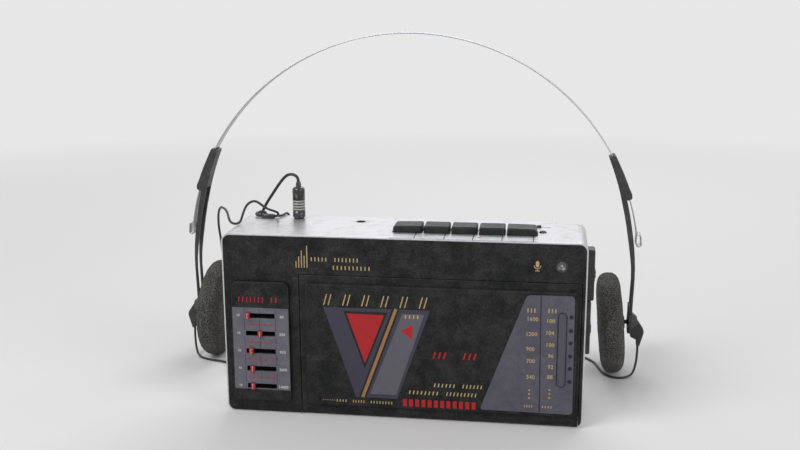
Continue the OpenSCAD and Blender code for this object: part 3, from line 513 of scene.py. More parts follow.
# %% The three cords
def lay_cord(name, points, diameter, nodes, moving, start, end):
    """Make a cord and bend it from the case to the body its far end moves with."""
    path = smooth_path(points)
    piece = mesh_piece(name, *capped(tube_grid(path, diameter / 2)), CORD_BLACK, None, "cord_rubber", nodes)
    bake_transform(piece, "case", moving, start=start, end=end)


lay_cord("lead", lead_points, LEAD_D, ["lead_cord", "cord_coil", "lead_return"], "plug",
         (-0.0774, 0.026, 0.092), (-0.0774, 0.026, 0.107))
lay_cord("wire_to_left_ear", LEFT_ROUTE, WIRE_D, ["left_wire"], "left_arm",
         (-0.108, 0.058, 0.005), (-0.1285, 0.058, 0.005))
lay_cord("wire_to_right_ear", RIGHT_ROUTE, WIRE_D, ["right_wire"], "right_arm",
         (0.094, 0.058, 0.005), (0.1155, 0.058, 0.005))

# %% [markdown]
# ## Rounded edges on the moulded shells
#
# Moulded plastic never has a knife edge: each edge is a small round that catches a line of light. The CAD
# shapes are right but sharp, so the shells are copied, their loose triangles are merged into whole faces,
# and a Bevel rounds only the edges that a weight picks. A Weighted Normal keeps large faces flat to light.


# %% Copies with rounded edges
def outline_gap(at, low, high, radius):
    """Distance of points from a rectangle with round corners.

    A smaller rectangle lies inside it by the radius, and the distance from that one is taken less the
    radius."""
    middle, half = (np.add(low, high)) / 2, (np.subtract(high, low)) / 2
    beyond = np.abs(at - middle) - (half - radius)
    outside = np.linalg.norm(np.maximum(beyond, 0), axis=-1)
    return np.abs(outside + np.minimum(beyond.max(-1), 0) - radius)


WELD = 2e-6                      # points nearer than this many metres become one
FLAT_ANGLE, SHARP_ANGLE = 0.6, 34        # smaller turns are merged away, larger ones stay creases


def softened(node, name, finish, roundness, segments=3, blunt=40, beyond=math.inf):
    """A copy of a CAD node with rounded edges.

    roundness gets the edges' middles and directions and returns each one's radius in millimetres. Only
    outward edges whose faces turn by more than the blunt angle are rounded. If there are two finishes, the
    second is for the faces that lie beyond an X."""
    source = frame["nodes"][node]
    mesh = source.data.copy()
    mesh.name = name
    for layer in ("custom_normal", "sharp_face", "sharp_edge"):
        if layer in mesh.attributes:
            mesh.attributes.remove(mesh.attributes[layer])
    solid = bmesh.new()
    solid.from_mesh(mesh)
    bmesh.ops.remove_doubles(solid, verts=solid.verts[:], dist=WELD)
    bmesh.ops.dissolve_limit(solid, angle_limit=math.radians(FLAT_ANGLE), verts=solid.verts[:],
                             edges=solid.edges[:], use_dissolve_boundaries=False)
    turn = np.degrees([edge.calc_face_angle_signed(0) for edge in solid.edges])
    ends = np.array([[tuple(v.co) for v in edge.verts] for edge in solid.edges]) / MM
    solid.to_mesh(mesh)
    solid.free()
    radius = np.where(turn > blunt, roundness(ends.mean(1), unit(ends[:, 1] - ends[:, 0])), 0.0)
    widest = float(radius.max())
    weights = mesh.attributes.new("bevel_weight_edge", "FLOAT", "EDGE")
    weights.data.foreach_set("value", (radius / widest).astype(np.float32))
    paint(mesh, finish, [int(face.center.x > beyond * MM) for face in mesh.polygons])
    mesh.set_sharp_from_angle(angle=math.radians(SHARP_ANGLE))
    piece = show(name, mesh)
    bevel = piece.modifiers.new("rounded edges", "BEVEL")
    bevel.limit_method, bevel.width, bevel.segments = "WEIGHT", widest * MM, segments
    bevel.use_clamp_overlap = False
    piece.modifiers.new("flat faces", "WEIGHTED_NORMAL").keep_sharp = True
    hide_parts(node)
    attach(piece, body_of(source)[0])
    return piece


def at_depth(y, radius):
    """The same radius for every edge whose middle lies at this Y."""
    return lambda middle, way: np.where(np.abs(middle[:, 1] - y) < LEVEL, radius, 0.0)


def rim(low, high, corner, front, radius):
    """The same radius for every edge on this outline, seen from the front, that lies before this Y."""
    return lambda middle, way: np.where(
        (outline_gap(middle[:, [0, 2]], low, high, corner) < ON_LINE) & (middle[:, 1] < front), radius, 0.0)


LEVEL, ON_LINE = 0.02, 0.08      # how near counts as on a level, and as on an outline
case_low, case_high = corners("front_case")
CASE = (case_low[0], case_low[2]), (case_high[0], case_high[2]), 5.0


BACK_Y, HUMP_Y, HUMP_X, LID_X, LID_Z = 18.5, 22, (-68.5, 71.5), 52.5, 80
GUARD_X, WHEELS_Y, WHEEL_GAP = 85.2, -2.2, 3.6


def rear_case_edges(middle, way):
    """Soft back edges, softest beside the battery hump, and small rounds on the wheel guards."""
    x, y, z = middle.T
    back_edge = (outline_gap(middle[:, [0, 2]], *CASE) < ON_LINE) & (np.abs(y - BACK_Y) < LEVEL)
    beside_hump, round_lid = (x < HUMP_X[0]) | (x > HUMP_X[1]), (np.abs(x) < LID_X) & (z < LID_Z)
    radius = np.where(back_edge, np.where(beside_hump, 2.4, 0.9), 0.0)
    radius = np.where(np.abs(y - HUMP_Y) < LEVEL, np.where(round_lid, 0.2, 1.4), radius)
    return np.where((x > GUARD_X) & (np.abs(y - WHEELS_Y) > WHEEL_GAP), 0.5, radius)


def dial_corners(middle, way):
    """Corners of the dial film, seen from the front; the window's own corners stay."""
    x, z = middle[:, 0], middle[:, 2]
    inside = (x > 71) & (x < 78) & (z > 20) & (z < 58)
    return np.where((np.abs(way[:, 1]) > 0.9) & ~inside, 1.7, 0.0)


def everywhere(radius):
    """The same radius for every edge."""
    return lambda middle, way: np.full(len(middle), radius)


softened("front_case", "front_shell", SILVER, rim(*CASE, case_low[1] + 0.05, 0.28))
softened("rear_case", "rear_shell", [SILVER, BLACK], rear_case_edges, 4, beyond=85.05)
softened("front_panel", "front_sheet", CHARCOAL, at_depth(-22, 0.22))
softened("equalizer_housing", "equalizer_block", CHARCOAL,
         rim((-81.7, 6.7), (-51.7, 66), 3.2, -23.7, 0.6))
softened("door", "door_leaf", CHARCOAL, at_depth(-22, 0.3))
softened("door_panel", "door_raised_panel", CHARCOAL, rim((-45, 6.3), (81.2, 66), 1.4, -23.5, 0.5))
softened("dial_plate", "dial_film", GREY_VIOLET, dial_corners, 5)
softened("battery_cover", "battery_lid", BLACK, everywhere(0.15), 2)
for side in ("left", "right"):
    softened(side + "_arm", side + "_arm_moulding", ARM_GREY, everywhere(0.3), 2, 50)
    softened(side + "_cup", side + "_cup_moulding", ARM_GREY, everywhere(0.4), 2, 50)
print("rounded copies made")

# %% [markdown]
# ## Keys
#
# Five moulded keys stand in a row in the top. A key is a stack of rounded outlines: straight up the sides,
# drawn in along a quarter circle at the top edge, then sunk a little towards the middle where a finger
# rests. The outer ends of the row slope more than the rest.


# %% Stacked outlines
def round_ring(low, high, radius, per_corner=5):
    """Points round a rectangle with round corners, starting at its right side and going left about."""
    low, high = np.add(low, radius), np.subtract(high, radius)
    return np.concatenate([arc(np.where(at_high, high, low), radius, start, start + 90, per_corner)
                           for start, at_high in zip((0, 90, 180, 270), ((1, 1), (0, 1), (0, 0), (1, 0)))])


def stack(low, high, corner, levels):
    """Closed rings in plan: each level is (height, inset), and insets shrink the corner too."""
    flats = [round_ring(np.add(low, inset), np.subtract(high, inset), max(corner - inset, 0.05))
             for _, inset in levels]
    return np.array([np.insert(flat, 2, height, 1) for flat, (height, _) in zip(flats, levels)])


def quarter_round(top, radius):
    """Levels from below the top edge to its inner end: a quarter circle of this radius."""
    return [(height, radius - reach) for reach, height in arc((0, top - radius), radius, 0, 90, 6)]


FINGER_SINK = (0.86, 0.05), (0.6, 0.16), (0.3, 0.22)     # share of the top's width, and how deep it lies
SLOPE_TALL = 2.6                 # height of a key's part that slopes


def key_shape(low, high, slope_left, slope_right):
    """A key's skin. Its top edge is round, its middle is sunk, and each end may slope outwards."""
    top, foot = high[2], low[2] + 1.2
    rings = stack(low[:2], high[:2], 0.7, [(foot, 0.15), (foot + 0.2, 0)] + quarter_round(top, 0.9))
    middle = rings[-1].mean(0)
    rings = np.concatenate([rings, [middle + (rings[-1] - middle) * (share, share, 1) - (0, 0, drop)
                                    for share, drop in FINGER_SINK]])
    rise = np.clip((rings[:, :, 2] - (top - SLOPE_TALL)) / SLOPE_TALL, 0, 1) ** 2
    to_left = np.clip((middle[0] - rings[:, :, 0]) / (middle[0] - low[0]), 0, 1) ** 2
    to_right = np.clip((rings[:, :, 0] - middle[0]) / (high[0] - middle[0]), 0, 1) ** 2
    rings[:, :, 0] += rise * (slope_left * to_left - slope_right * to_right)
    rings[:, :, 2] -= rise * (0.5 * slope_left * to_left ** 3 + 0.5 * slope_right * to_right ** 3)
    return capped(rings)


def joined(*shapes):
    """Several shapes as one: all their points, and their faces counted on from the points before."""
    every_point, every_face, start = [], [], 0
    for points, faces in shapes:
        every_point.append(points)
        every_face += [[start + corner for corner in face] for face in faces]
        start += len(points)
    return np.concatenate(every_point), every_face


for name, slopes in {"rewind": (1.1, 0), "forward": (0, 0), "play": (0, 0), "record": (0, 0),
                     "stop": (0, 0.8)}.items():
    low, high = corners(name + "_key")
    middle = middle_of(name + "_key")[0]
    foot = capped(stack((middle - 3, -5), (middle + 3, -1), 0.3, [(low[2], 0), (low[2] + 1.4, 0)]))
    mesh_piece(name + "_key_cap", *joined(key_shape(low, high, *slopes), foot), KEY_BLACK, name + "_key",
               "key_plastic", [name + "_key"])
print("five keys,", round(high[2] - 88.5, 1), "mm above the case")

# %% [markdown]
# ## Sliders of the equaliser
#
# Each slider is a red cap with a raised white line that shows its setting. Its section is drawn once, from
# one foot over the line to the other foot, and carried along the cap's height; the ends are drawn in.


# %% Slider caps
SLIDER_HALF = [(-1.1, 0), (-1.06, 1.1), (-0.9, 1.38), (-0.6, 1.44), (-0.24, 1.2), (-0.17, 1.3),
               (-0.15, 1.66)]
SLIDER_LEVELS = [(-1.45, 0.9, 0.72), (-1.42, 0.97, 0.9), (-1.2, 1, 1), (0, 1, 1), (1.2, 1, 1),
                 (1.42, 0.97, 0.9), (1.45, 0.9, 0.72)]      # height, and shares of the width and rise


def slider_rings(centre_x, centre_z, back):
    """A section in X and Y carried along Z. Ends: the section shrinks towards the slot."""
    half = np.array(SLIDER_HALF)
    section = np.concatenate([half, half[::-1] * (-1, 1)])
    height, wide, rise = np.array(SLIDER_LEVELS).T[:, :, None]
    return points_of(centre_x + section[:, 0] * wide, back - section[:, 1] * rise, centre_z + height)


SLIDER_WHITE = worn_skin("slider_line", (0.62, 0.36, 0.36), (0.8, 0.58, 0.58), 0.5, (0.3, 0.45), 0,
                         (0.2, 0.003))
for number in range(1, 6):
    node = f"band_knob_{number}"
    low, high = corners(node)
    x, _, z = middle_of(node)
    rings = slider_rings(x, z, low[1] + 1.8)
    marks = second_finish(rings, np.arange(rings.shape[1]) == len(SLIDER_HALF) - 1)
    stem = capped(stack((x - 0.6, low[1] + 1.6), (x + 0.6, high[1]), 0.2, [(z - 0.8, 0), (z + 0.8, 0)]))
    mesh_piece(f"slider_{number}", *joined(capped(rings), stem), [RED, SLIDER_WHITE], node, "red_plastic",
               [node], marks=marks + [0] * len(stem[1]))
print("five sliders")

# %% [markdown]
# ## Turned pieces
#
# The plug, the little microphone dish and the lamp are round about one line. A profile of radii and heights
# is turned about that line; steps in the profile give the plug its light rings.


# %% Turning a profile
def turned(profile, centre, order=(0, 1, 2), sides=48):
    """Rings of a profile of (radius, height) turned about a line through the centre.

    The line stands along Z; another order of the three axes lays it along another one."""
    radius, height = np.asarray(profile, float).T[:, :, None]
    angle = np.linspace(0, 2 * np.pi, sides, endpoint=False)
    return points_of(radius * np.cos(angle), radius * np.sin(angle), height)[:, :, order] + centre


RING_LEVELS = (93.05, 94.4, 95.75, 97.1)
barrel = [(1.9, 88.72), (2.55, 88.75), (3.02, 89.3), (3.1, 89.6), (3.1, 92.83)]
for level in RING_LEVELS:
    barrel += [(2.9, level - 0.2), (2.9, level - 0.02), (3.1, level), (3.1, level + 0.8), (2.9, level + 0.82)]
barrel += [(2.9, 98.1), (3.1, 98.12), (3.1, 103.2), (3.0, 103.5), (2.6, 103.95), (2.3, 104.28),
           (1.5, 104.3), (1.4, 104.5), (1.25, 105), (1.35, 105.2), (1.35, 105.9), (1.15, 106.1),
           (1.2, 106.3), (1.15, 106.85), (0.9, 107.0)]
rings = turned(barrel, middle_of("plug") * (1, 1, 0))
pale_rows = np.isin([height for _, height in barrel[:-1]], RING_LEVELS)[:, None]
RING_GREY = worn_skin("pale_ring", (0.36, 0.35, 0.33), (0.46, 0.45, 0.42), 1.2, (0.3, 0.45), 0, (0.2, 0.003))
mesh_piece("plug_barrel", *capped(rings), [GLOSS_BLACK, RING_GREY], "plug", "plug_plastic", ["plug"],
           marks=second_finish(rings, pale_rows))

dish = [(2.1, -16), (2.1, -21.33), (2.78, -21.91), (2.82, -21.99), (2.74, -22.0), (1.9, -21.2), (1.0, -20.1),
        (0.12, -19.3)]
rings = turned(dish, middle_of("microphone") * (1, 0, 1), (0, 2, 1))
funnel = np.arange(len(dish) - 1)[:, None] >= 5
DISH_GREY = worn_skin("dish_metal", (0.30, 0.30, 0.305), (0.40, 0.40, 0.405), 1.5, (0.26, 0.36), 1,
                      (0.2, 0.002))
mesh_piece("microphone_dish", *capped(rings), [BLACK, DISH_GREY], "case", "microphone_dome", ["microphone"],
           marks=second_finish(rings, funnel, 1))

swell = np.radians(np.linspace(0, 84, 8))
dome = [(1.75, 84.2), (1.78, 88.3)] + [(1.66 * math.cos(a), 88.5 + 1.1 * math.sin(a)) for a in swell]
mesh_piece("lamp_dome", *capped(turned(dome, middle_of("lamp") * (1, 1, 0))), LENS, "case", "lamp_lens",
           ["lamp"])

low, high = corners("splitter")
block = stack(low[:2], high[:2], 1.2, [(low[2], 0.55), (low[2] + 0.16, 0.16), (low[2] + 0.5, 0)]
              + quarter_round(high[2], 0.8))
mesh_piece("splitter_block", *capped(block), GLOSS_BLACK, "case", "cord_rubber", ["splitter"])
print("plug, microphone dish and lamp turned")

# %% [markdown]
# ## Printed graphics
#
# The front carries screen printing: coloured stripes, a dial with numbers, rows of small marks. Ink is a
# layer a few hundredths of a millimetre thick, so each mark is an outline pushed out by that much from just
# under the surface. Marks of one ink on one body make one piece. Words are left out: where the front has
# lettering, a row of plain slanted strokes stands, and only the numbers of the scales are real figures.


# %% Ink
def ink(name, colour, worn):
    """Ink with rubbed places: fine noise inside large noise lets a second colour through."""
    material, tree = new_finish(name)
    where = place(tree)
    gate = remap(tree, noise(tree, where, 5, 3), 0.5, 0.68, 0, 0.7)
    fine = remap(tree, noise(tree, where, 0.35, 3, 0.7), 0.5, 0.62)
    share = maths(tree, "MULTIPLY", gate, fine)
    return filled(material, Base_Color=blend(tree, share, rgb(*colour), rgb(*worn)),
                  Roughness=remap(tree, fine, 0, 1, 0.4, 0.6), Specular_IOR_Level=0.35)


BEIGE_INK = ink("beige_ink", (0.50, 0.36, 0.18), (0.20, 0.15, 0.09))
PALE_INK = ink("pale_ink", (0.62, 0.58, 0.54), (0.30, 0.28, 0.27))
RED_INK = ink("red_ink", (0.44, 0.014, 0.017), (0.20, 0.012, 0.014))
GOLD_INK = ink("gold_ink", (0.34, 0.18, 0.075), (0.20, 0.11, 0.05))
VIOLET_INK = ink("grey_violet_ink", (0.048, 0.044, 0.068), (0.032, 0.030, 0.044))
LIGHT_INK = ink("light_grey_ink", (0.118, 0.112, 0.135), (0.075, 0.070, 0.085))
NAVY_INK = ink("navy_ink", (0.012, 0.012, 0.028), (0.05, 0.05, 0.07))
BLACK_INK = ink("black_ink", (0.008, 0.008, 0.010), (0.03, 0.03, 0.032))
print("eight inks")


# %% Marks
class Print:
    """Marks of one ink that lie on one flat face, gathered until they become a piece."""

    def __init__(self, name, finish, body, face, thick, up=False):
        self.name, self.finish, self.body, self.shapes = name, finish, body, []
        out = 1 if up else -1
        self.levels, self.order = (face + out * thick, face - out * INK_FOOT), (0, 1, 2) if up else (0, 2, 1)

    def plate(self, flat, faces):
        """A closed plate: the faces at the ink's front, the same ones turned round at its foot just under
        the surface, and a wall along every open edge."""
        used = {(a, b) for face in faces for a, b in zip(face, face[1:] + face[:1])}
        count = len(flat)
        walls = [[b, a, a + count, b + count] for a, b in sorted(used) if (b, a) not in used]
        points = np.concatenate([np.insert(flat, 2, level, 1) for level in self.levels])[:, self.order]
        foot = [[corner + count for corner in face[::-1]] for face in faces]
        self.shapes.append(skin(points, faces + foot + walls))

    def add(self, outline):
        """A plate whose face is one outline of (across, up) points."""
        self.plate(np.asarray(outline, float), [list(range(len(outline)))])

    def bar(self, x0, z0, x1, z1, lean=0.0):
        """A rectangle, its top edge moved right by lean."""
        self.add([(x0, z0), (x1, z0), (x1 + lean, z1), (x0 + lean, z1)])

    def line(self, start, end, width):
        """A straight stroke of this width between two points."""
        side = unit(np.subtract(end, start))[::-1] * (-width / 2, width / 2)
        self.add([start + side, start - side, end - side, end + side])

    def dot(self, x, z, radius, sides=20):
        """A round spot with this many corners."""
        self.add(arc((x, z), radius, 0, 360, sides + 1)[:-1])

    def figures(self, text, x, z, height, bold=0.012):
        """A number centred on a point, as tall as height, from the plain built-in figures made bolder."""
        curve = bpy.data.curves.new(self.name, "FONT")
        curve.body, curve.align_x, curve.align_y = text, "CENTER", "CENTER"
        curve.size, curve.offset, curve.resolution_u = 1.0, bold, 2
        holder = bpy.data.objects.new(self.name, curve)
        mesh = bpy.data.meshes.new_from_object(holder)
        flat = np.array([v.co[:2] for v in mesh.vertices])
        tall = flat[:, 1].max() - flat[:, 1].min()
        flat = (flat - (flat.max(0) + flat.min(0)) / 2) * height / tall + (x, z)
        self.plate(flat, [list(face.vertices) for face in mesh.polygons])
        bpy.data.objects.remove(holder)
        bpy.data.meshes.remove(mesh)
        bpy.data.curves.remove(curve)

    def make(self):
        """The piece itself, flat-faced, joined from all its plates."""
        mesh_piece(self.name, *joined(*self.shapes), self.finish, self.body, "grey_plate", smooth=False)


INK_FOOT = 0.02                  # how far ink reaches into the surface, so that nothing shows between
PANEL_Y, DIAL_Y, EQ_Y, FRONT_Y = -23.6, -23.9, -23.8, -22.0

# %% [markdown]
# The door's left half has a large V: grey-violet fields, a red triangle, a gold stripe that crosses from the
# upper right to the lower left, and a lighter band beside it. The inks lie on each other as on a real screen
# print, each a little thicker than the one below.

# %% The V on the door
for name, finish, thick, fields, lines in (
        ("v_field", VIOLET_INK, 0.02, [[(-36.2, 55.0), (-21.2, 11.0), (-18.9, 11.0), (-3.3, 55.1)],
                                       [(-0.6, 55.1), (-16.9, 11.0), (-1.5, 11.0), (14.0, 55.1)]], []),
        ("v_light_band", LIGHT_INK, 0.035, [[(1.0, 53.1), (-14.4, 12.9), (-2.0, 12.9), (11.3, 53.1)]], []),
        ("v_dark_lines", BLACK_INK, 0.05, [[(-26.7, 53.4), (-16.9, 25.6), (-5.8, 53.4)]],
         [((-0.4, 55.3), (-16.6, 11.0), 0.5), ((-3.4, 55.3), (-19.4, 11.0), 0.6)]),
        ("v_gold_stripe", GOLD_INK, 0.065, [], [((-1.9, 55.3), (-18.0, 11.1), 1.5)])):
    layer = Print(name, finish, "door", PANEL_Y, thick)
    for field in fields:
        layer.add(field)
    for line in lines:
        layer.line(*line)
    layer.make()


# %% Marks where words would stand
def strokes(ink_print, spans, low, high, lean, pitch, inked):
    """Rows of strokes between two heights. Each span along X is split into steps near the pitch, and every
    stroke fills this share of its step, so that a gap between spans reads as a gap between words."""
    for start, end in spans:
        count = max(1, round((end - start) / pitch))
        step = (end - start) / count
        for number in range(count):
            left = start + number * step
            ink_print.bar(left, low, left + step * inked, high, lean)


red = Print("red_marks_on_door", RED_INK, "door", PANEL_Y, 0.065)
red.add([(-25.2, 52.3), (-16.7, 28.2), (-7.4, 52.1)])
red.add([(0.3, 44.8), (5.7, 40.7), (5.9, 48.0)])
strokes(red, [(15.2, 22.4), (29.2, 36.4)], 32.0, 35.2, 1.0, 2.4, 0.32)
strokes(red, [(1.2, 36.6)], 7.6, 11.2, 0.0, 3.0, 0.62)
red.make()

beige = Print("beige_marks_on_door", BEIGE_INK, "door", PANEL_Y, 0.05)
for number in range(6):
    left = -36.0 + 9.0 * number
    for offset in (0, 2.1):
        beige.line((left + offset, 56.0), (left + offset + 1.5, 61.4), 0.5)
strokes(beige, [(2.2, 9.8)], 50.9, 52.6, 0.1, 1.9, 0.34)
strokes(beige, [(15.8, 26.6), (29.2, 39.2)], 17.9, 19.7, 0.4, 1.75, 0.32)
strokes(beige, [(4.0, 18.8), (21.6, 36.6)], 13.8, 15.6, 0.4, 1.75, 0.32)
strokes(beige, [(-30.6, -25.0), (-22.8, -16.4), (-14.2, -3.0)], 8.1, 9.4, 0.05, 1.35, 0.32)
for number in range(6):
    beige.dot(-37.2 + 1.1 * number, 8.8, 0.22, 10)
beige.make()
print("V and its marks printed on the door")

# %% [markdown]
# The dial film has two columns of frequencies, a divider, and a pill-shaped frame with six dots beside it.
# The pointer runs behind the pill in a window of smoked film.

# %% The dial
dial_dark = Print("dial_dark_lines", NAVY_INK, "door", DIAL_Y, 0.02)
dial_dark.line((64.5, 64.5), (65.0, 8.1), 0.45)
for z in (54.6, 48.2, 42.3, 36.0, 30.0, 23.7):
    dial_dark.dot(78.3, z, 1.0)


def pill(x0, z0, x1, z1, steps=12):
    """Outline with half circles at both ends, starting low at the right and going left about."""
    radius, middle = (x1 - x0) / 2, (x0 + x1) / 2
    return np.concatenate([arc((middle, z1 - radius), radius, 0, 180, steps),
                           arc((middle, z0 + radius), radius, 180, 360, steps)])


def hoop(ink_print, outer, inner):
    """A flat ring between two outlines with the same number of points, as a row of four-sided plates."""
    for plate in zip(outer, np.roll(outer, -1, 0), np.roll(inner, -1, 0), inner):
        ink_print.add(plate)


hoop(dial_dark, pill(72.15, 20.7, 76.65, 56.8), pill(72.6, 21.15, 76.2, 56.35))
dial_dark.make()

dial_figures = Print("dial_figures", BEIGE_INK, "door", DIAL_Y, 0.02)
for text, x, z in (("1600", 61.1, 53.2), ("1200", 60.8, 46.0), ("900", 60.2, 38.8), ("700", 60.5, 33.0),
                   ("540", 60.6, 25.2), ("108", 69.3, 52.6), ("104", 69.1, 46.9), ("100", 69.3, 41.1),
                   ("96", 69.6, 35.8), ("92", 69.6, 30.5), ("88", 69.4, 25.7)):
    dial_figures.figures(text, x, z, 1.95)
for x, heights in ((60.2, (18.8, 16.9, 14.9)), (69.4, (19.3, 17.4, 15.4))):
    for z in heights:
        dial_figures.dot(x, z, 0.42, 12)
for x, z in ((60.6, 56.2), (70.0, 56.4)):
    strokes(dial_figures, [(x - 2.1, x + 2.5)], z, z + 2.0, 0.0, 1.6, 0.36)
for x, z, half in ((60.2, 10.2, 2.2), (68.8, 10.2, 2.6)):
    strokes(dial_figures, [(x - half, x + half)], z, z + 1.2, 0.0, 1.2, 0.34)
dial_figures.make()
print("dial printed")

# %% [markdown]
# The window in the dial is closed by a thin film of the dial's own tint, set a little below the print. It
# is not quite opaque, so the red pointer shows through it only faintly.

# %% Film in the dial's window
FILM, film_tree = new_finish("dial_window_film")
film_tint = blend(film_tree, noise(film_tree, place(film_tree), 12, 3), rgb(0.075, 0.071, 0.092),
                  rgb(0.105, 0.10, 0.125))
filled(FILM, Base_Color=film_tint, Roughness=0.3, Alpha=0.86)
FILM_FRONT_Y, FILM_BACK_Y = -23.72, -23.56
window = stack((72.6, FILM_FRONT_Y), (76.2, FILM_BACK_Y), 0.05, [(21.5, 0), (56.3, 0)])
mesh_piece("dial_window", *capped(window), FILM, "door", "grey_plate", smooth=False)
print("window closed")

# %% [markdown]
# The equaliser's plate has thin dark lines where the sliders' scale begins, stands at its middle and ends,
# a row of red marks between the slots, and small pale figures at the right.

# %% The equaliser's plate
FIRST_SLOT_Z, SLOT_PITCH = 14.2, 8.8
slot_levels = FIRST_SLOT_Z + SLOT_PITCH * np.arange(5)
eq_dark = Print("equalizer_scale_lines", NAVY_INK, "case", EQ_Y, 0.02)
for x in (-74.6, -67.1, -59.4):
    for low, high in zip([12.9, *(slot_levels + 1.5)], [*(slot_levels - 1.5), 52.9]):
        if high - low > 0.5:
            eq_dark.bar(x - 0.09, low, x + 0.09, high)
eq_dark.make()
eq_red = Print("equalizer_red_marks", RED_INK, "case", EQ_Y, 0.035)
for z in slot_levels[:-1] + 4.35:
    for number in range(9):
        wide, tall = (0.5, 0.34) if number % 2 else (0.3, 0.24)
        x = -72.6 + 1.6 * number
        eq_red.bar(x - wide, z - tall, x + wide, z + tall, 0.1)
eq_red.make()
eq_title = Print("equalizer_title_marks", RED_INK, "case", EQ_Y, 0.02)
strokes(eq_title, [(-77.2, -63.8), (-61.4, -57.2)], 56.0, 58.6, 0.2, 1.9, 0.26)
eq_title.make()
eq_pale = Print("equalizer_figures", PALE_INK, "case", EQ_Y, 0.02)
for text, z in zip(("14000", "3600", "910", "230", "60"), slot_levels):
    eq_pale.figures(text, -56.3, z - 0.1, 1.45, 0.02)
    eq_pale.figures("10", -77.4, z, 1.25, 0.02)
eq_pale.make()
print("equaliser printed")

# %% [markdown]
# On the front sheet, five bars of rising height stand for the five bands, with two rows of strokes beside
# them, and a small sign of a microphone stands beside its dish. The case's top has thin dark lines between
# the keys' labels and short marks round the sockets.

# %% Front sheet and top
front_marks = Print("front_marks", BEIGE_INK, "case", FRONT_Y, 0.02)
for number, height in enumerate((3.0, 5.4, 8.2, 5.8, 10.6)):
    front_marks.bar(-49.3 + 1.3 * number, 73.2, -48.85 + 1.3 * number, 73.2 + height)
strokes(front_marks, [(-42.0, -33.4), (-30.8, -18.6)], 76.5, 78.4, 0.0, 1.75, 0.28)
strokes(front_marks, [(-31.6, -13.0)], 72.7, 74.6, 0.0, 1.85, 0.27)
mic_x, mic_z = 62.5, 78.0
front_marks.add(pill(mic_x - 0.75, mic_z - 0.9, mic_x + 0.75, mic_z + 2.0, 8))
bow = arc((mic_x, mic_z - 0.1), 1.5, 180, 360, 11)
for start, end in (*zip(bow[:-1], bow[1:]), ((mic_x, mic_z - 1.6), (mic_x, mic_z - 2.6)),
                   ((mic_x - 1.0, mic_z - 2.6), (mic_x + 1.0, mic_z - 2.6))):
    front_marks.line(start, end, 0.36)
front_marks.make()

STRIP_TOP, CASE_TOP = 88.8, 88.5
seams = Print("label_seams", BLACK_INK, "case", STRIP_TOP, 0.015, up=True)
for x in (6.1, 19.8, 33, 46.2, 60.3):
    seams.bar(x - 0.22, -21.2, x + 0.22, -11.4)
seams.make()
label_red = Print("record_dot", RED_INK, "case", STRIP_TOP, 0.015, up=True)
label_red.dot(35.7, -16.8, 0.9)
label_red.make()
ticks = Print("socket_marks", BLACK_INK, "case", CASE_TOP, 0.015, up=True)
for x, y in ((-56, 14.8), (-24, 11)):
    for angle in np.radians(np.arange(15, 360, 30)):
        way = np.array([math.cos(angle), math.sin(angle)])
        ticks.line((x, y) + 3.5 * way, (x, y) + 4.3 * way, 0.22)
ticks.make()
print("front sheet and top printed")

# %% [markdown]
# ## Headband
#
# The headband is one strip of spring steel, bent into an arc and turned up into a flat loop at each end so
# that it can't slip out of the arms. The strip's section is a rectangle with round edges; it is carried along
# the path and stays upright to it, because a path that lies in one plane never twists.

# %% Strip along a flat path
PHONES_X, PHONES_Y, RING_Z = -6.5, 58.0, 57.5
BAND_R, BAND_THICK, BAND_WIDE, TAIL_ANGLE = 120.5, 0.6, 7.0, 6.0


def band_path():
    """Right half of the strip's middle line seen from the front: the loop from its free end, then the arc.

    The loop is drawn with the band's end standing upright, then turned down to where the band stops."""
    middle = BAND_R - BAND_THICK / 2
    loop = np.concatenate([[(0.45, 5.25)], arc((0.6, 3.95), 1.3, 90, 0, 7), arc((0.6, 0.2), 1.3, 0, -180, 13),
                           [(-0.66, 1.6), (-0.36, 3.6), (-0.1, 5.6)]]) + (middle, 0)
    turn = math.radians(TAIL_ANGLE)
    loop = loop @ np.array([[math.cos(turn), math.sin(turn)], [-math.sin(turn), math.cos(turn)]])
    return np.concatenate([loop, arc((0, 0), middle, TAIL_ANGLE + 3.2, 90, 120)])


half = band_path()
path = np.concatenate([half, (half * (-1, 1))[-2::-1]]) + (PHONES_X, RING_Z)
outward = unit(np.gradient(path, axis=0))[:, ::-1] * (1, -1)
section = round_ring((-BAND_THICK / 2, -BAND_WIDE / 2), (BAND_THICK / 2, BAND_WIDE / 2), 0.26, 4)
x, z = np.moveaxis(path[:, None] + outward[:, None] * section[:, :1], -1, 0)
rings = points_of(x, PHONES_Y + section[:, 1], z)
mesh_piece("headband_strip", *capped(rings), STEEL, "case", "band_steel", ["headband"])
print("headband", round(walked_along(path)[-1]), "mm of strip")

# %% [markdown]
# ## Foam pads
#
# Each ear cup wears a slip-on pad of open foam: a thick disc, crowned towards the ear, whose back wraps round
# the cup and ends in a soft lip. Foam has no seams and no stuffing, so its form is turned from one profile.
# What makes it foam is its skin of pores: the points move in and out by smooth random numbers that sit on a
# lattice a little coarser than a pore, and the finish repeats the pores in colour as painted shade: dark pits
# between paler cell walls.


# %% Foam
def lattice_noise(points, cell, seed):
    """Smooth random field: random numbers on a cubic lattice, blended between corners with an S-curve."""
    values = np.random.default_rng(seed).random((24, 24, 24))
    where = points / cell
    base = np.floor(where).astype(int)
    t = eased(where - base)
    total = np.zeros(points.shape[:-1])
    for corner in np.ndindex(2, 2, 2):
        share = np.prod(np.where(np.array(corner) == 1, t, 1 - t), axis=-1)
        at = (base + corner) % 24
        total += share * values[at[..., 0], at[..., 1], at[..., 2]]
    return total


